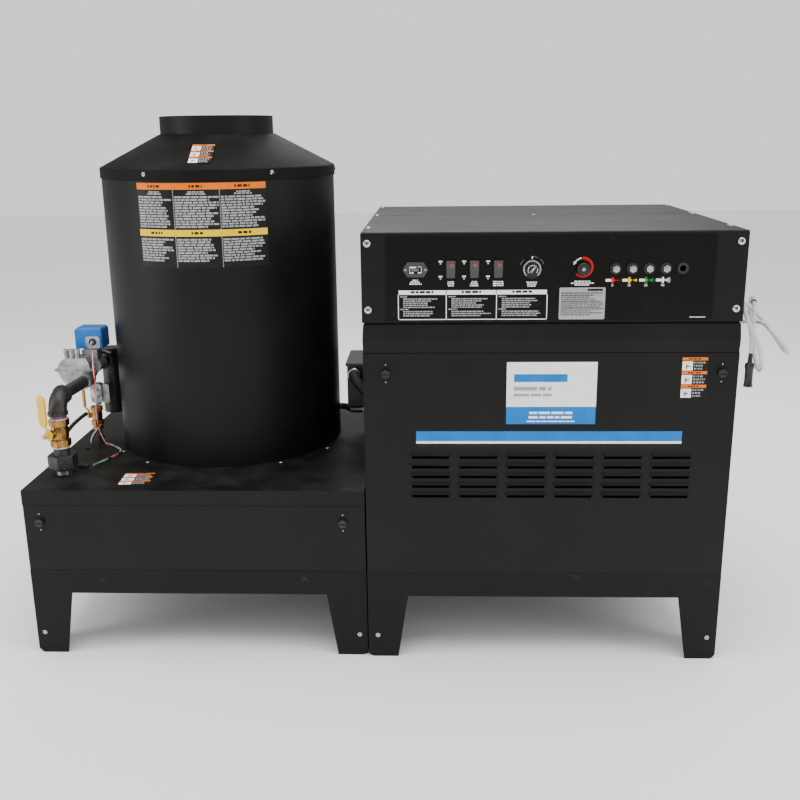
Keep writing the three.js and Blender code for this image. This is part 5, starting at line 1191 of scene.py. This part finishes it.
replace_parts(tube("pressure_hose_tube", route(pressure), 9 * MM, "rubber"), "pressure_hose")
crimp_at, crimp_pitch = mm(-87, 73.65, 529), 6.4
crimp = [(9, 0), (11.4, 0)]
for step in range(5):
    start = step * crimp_pitch
    crimp += [(12.2, 1 + start), (12.2, 4 + start), (11.2, 5.6 + start)]
ring("pressure_crimp", crimp_at, RIGHT, crimp + [(12, 34), (9, 34)], "zinc_plate")
swivel = turned([(9, 34.2), (13.6, 34.2), (14, 35), (14, 47), (13.6, 48), (9, 48)], 6, closed=True)
keep("pressure_swivel", laid(swivel, crimp_at, RIGHT), "zinc_plate")
tank_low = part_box("float_tank")[0] / MM
screws("tank_bolts", [mm(-40, tank_low.y + 3, z) for z in (640, 575)], FRONT, 5, "zinc_plate")
print("the gap is dressed")

# %% [markdown]
# The detergent hose gets its gland, a tie that holds two strands and the strainer at its end. The hose
# is the one soft part here.

# %% Gland, tie and strainer
gland = [(5.15, 0), (10.5, 0), (10.5, 4), (9, 5), (8, 9), (6, 16), (5.15, 17)]
ring("hose_gland", gland_place + mm(0.4, 0, 0), RIGHT, gland, "black_plastic", steps=24)
tie_at = 28  # the point of the route where the tie sits
tie_way = mm(*hose_steps[tie_at + 1]) - mm(*hose_steps[tie_at - 1])
tie = ring("hose_tie", gland_place + mm(*hose_steps[tie_at]), tie_way, [(5, -2), (6.6, -2), (6.6, 2), (5, 2)],
           "black_plastic", steps=24)
strainer = rounded("detergent_strainer", "black_plastic", 0.9, 3, smooth_under=40)
print("the hose is dressed")

# %% [markdown]
# ## Inside
# With the front panels off, the belt drive and the burner show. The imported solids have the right
# shapes there, so they get rounded edges and their own finishes, and the insulation round the coil is
# made soft: its wall is turned in many rows, and each point moves a little by a smooth noise.

# %% Motor, pump, belt and burner
inside = {"motor": ("motor_paint", 1.8), "pump": ("cast_aluminium", 1.8), "motor_pulley": ("black_iron", 0.8),
          "pump_pulley": ("black_iron", 0.8), "drive_belt": ("rubber", 0.5),
          "heating_coil": ("black_iron", 0.3), "burner_manifold": ("black_iron", 0.6)}
for node, (finish, width) in inside.items():
    rounded(node, finish, width, smooth_under=40)
for node in ("heater_latch_left", "heater_latch_right", "panel_latch_left", "panel_latch_right",
             "side_latch_right"):
    rounded(node, "black_plastic", 0.9, 3)
wool_low, wool_high = (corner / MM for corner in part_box("coil_insulation"))
wool_r = (wool_high.x - wool_low.x) / 2 - 1.2
rows = 28
rise = (wool_high.z - wool_low.z) / rows
outer_wall = [(wool_r, wool_low.z + rise * row) for row in range(rows + 1)]
inner_wall = [(wool_r - 19, wool_low.z + rise * row) for row in range(rows, -1, -1)]
wool = turned(outer_wall + inner_wall, 120, closed=True)
for vert in wool.verts:
    ripple = math.sin(vert.co.x * 47 + vert.co.z * 31) * math.sin(vert.co.y * 53 - vert.co.z * 23)
    outward = Vector((vert.co.x, vert.co.y, 0)).normalized()
    vert.co += outward * ripple * 0.9 * MM
blanket = keep("coil_insulation_blanket", laid(wool, boiler_axis), "ceramic_blanket",
               smooth_under=60)
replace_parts(blanket, "coil_insulation")
print("inside parts are dressed")
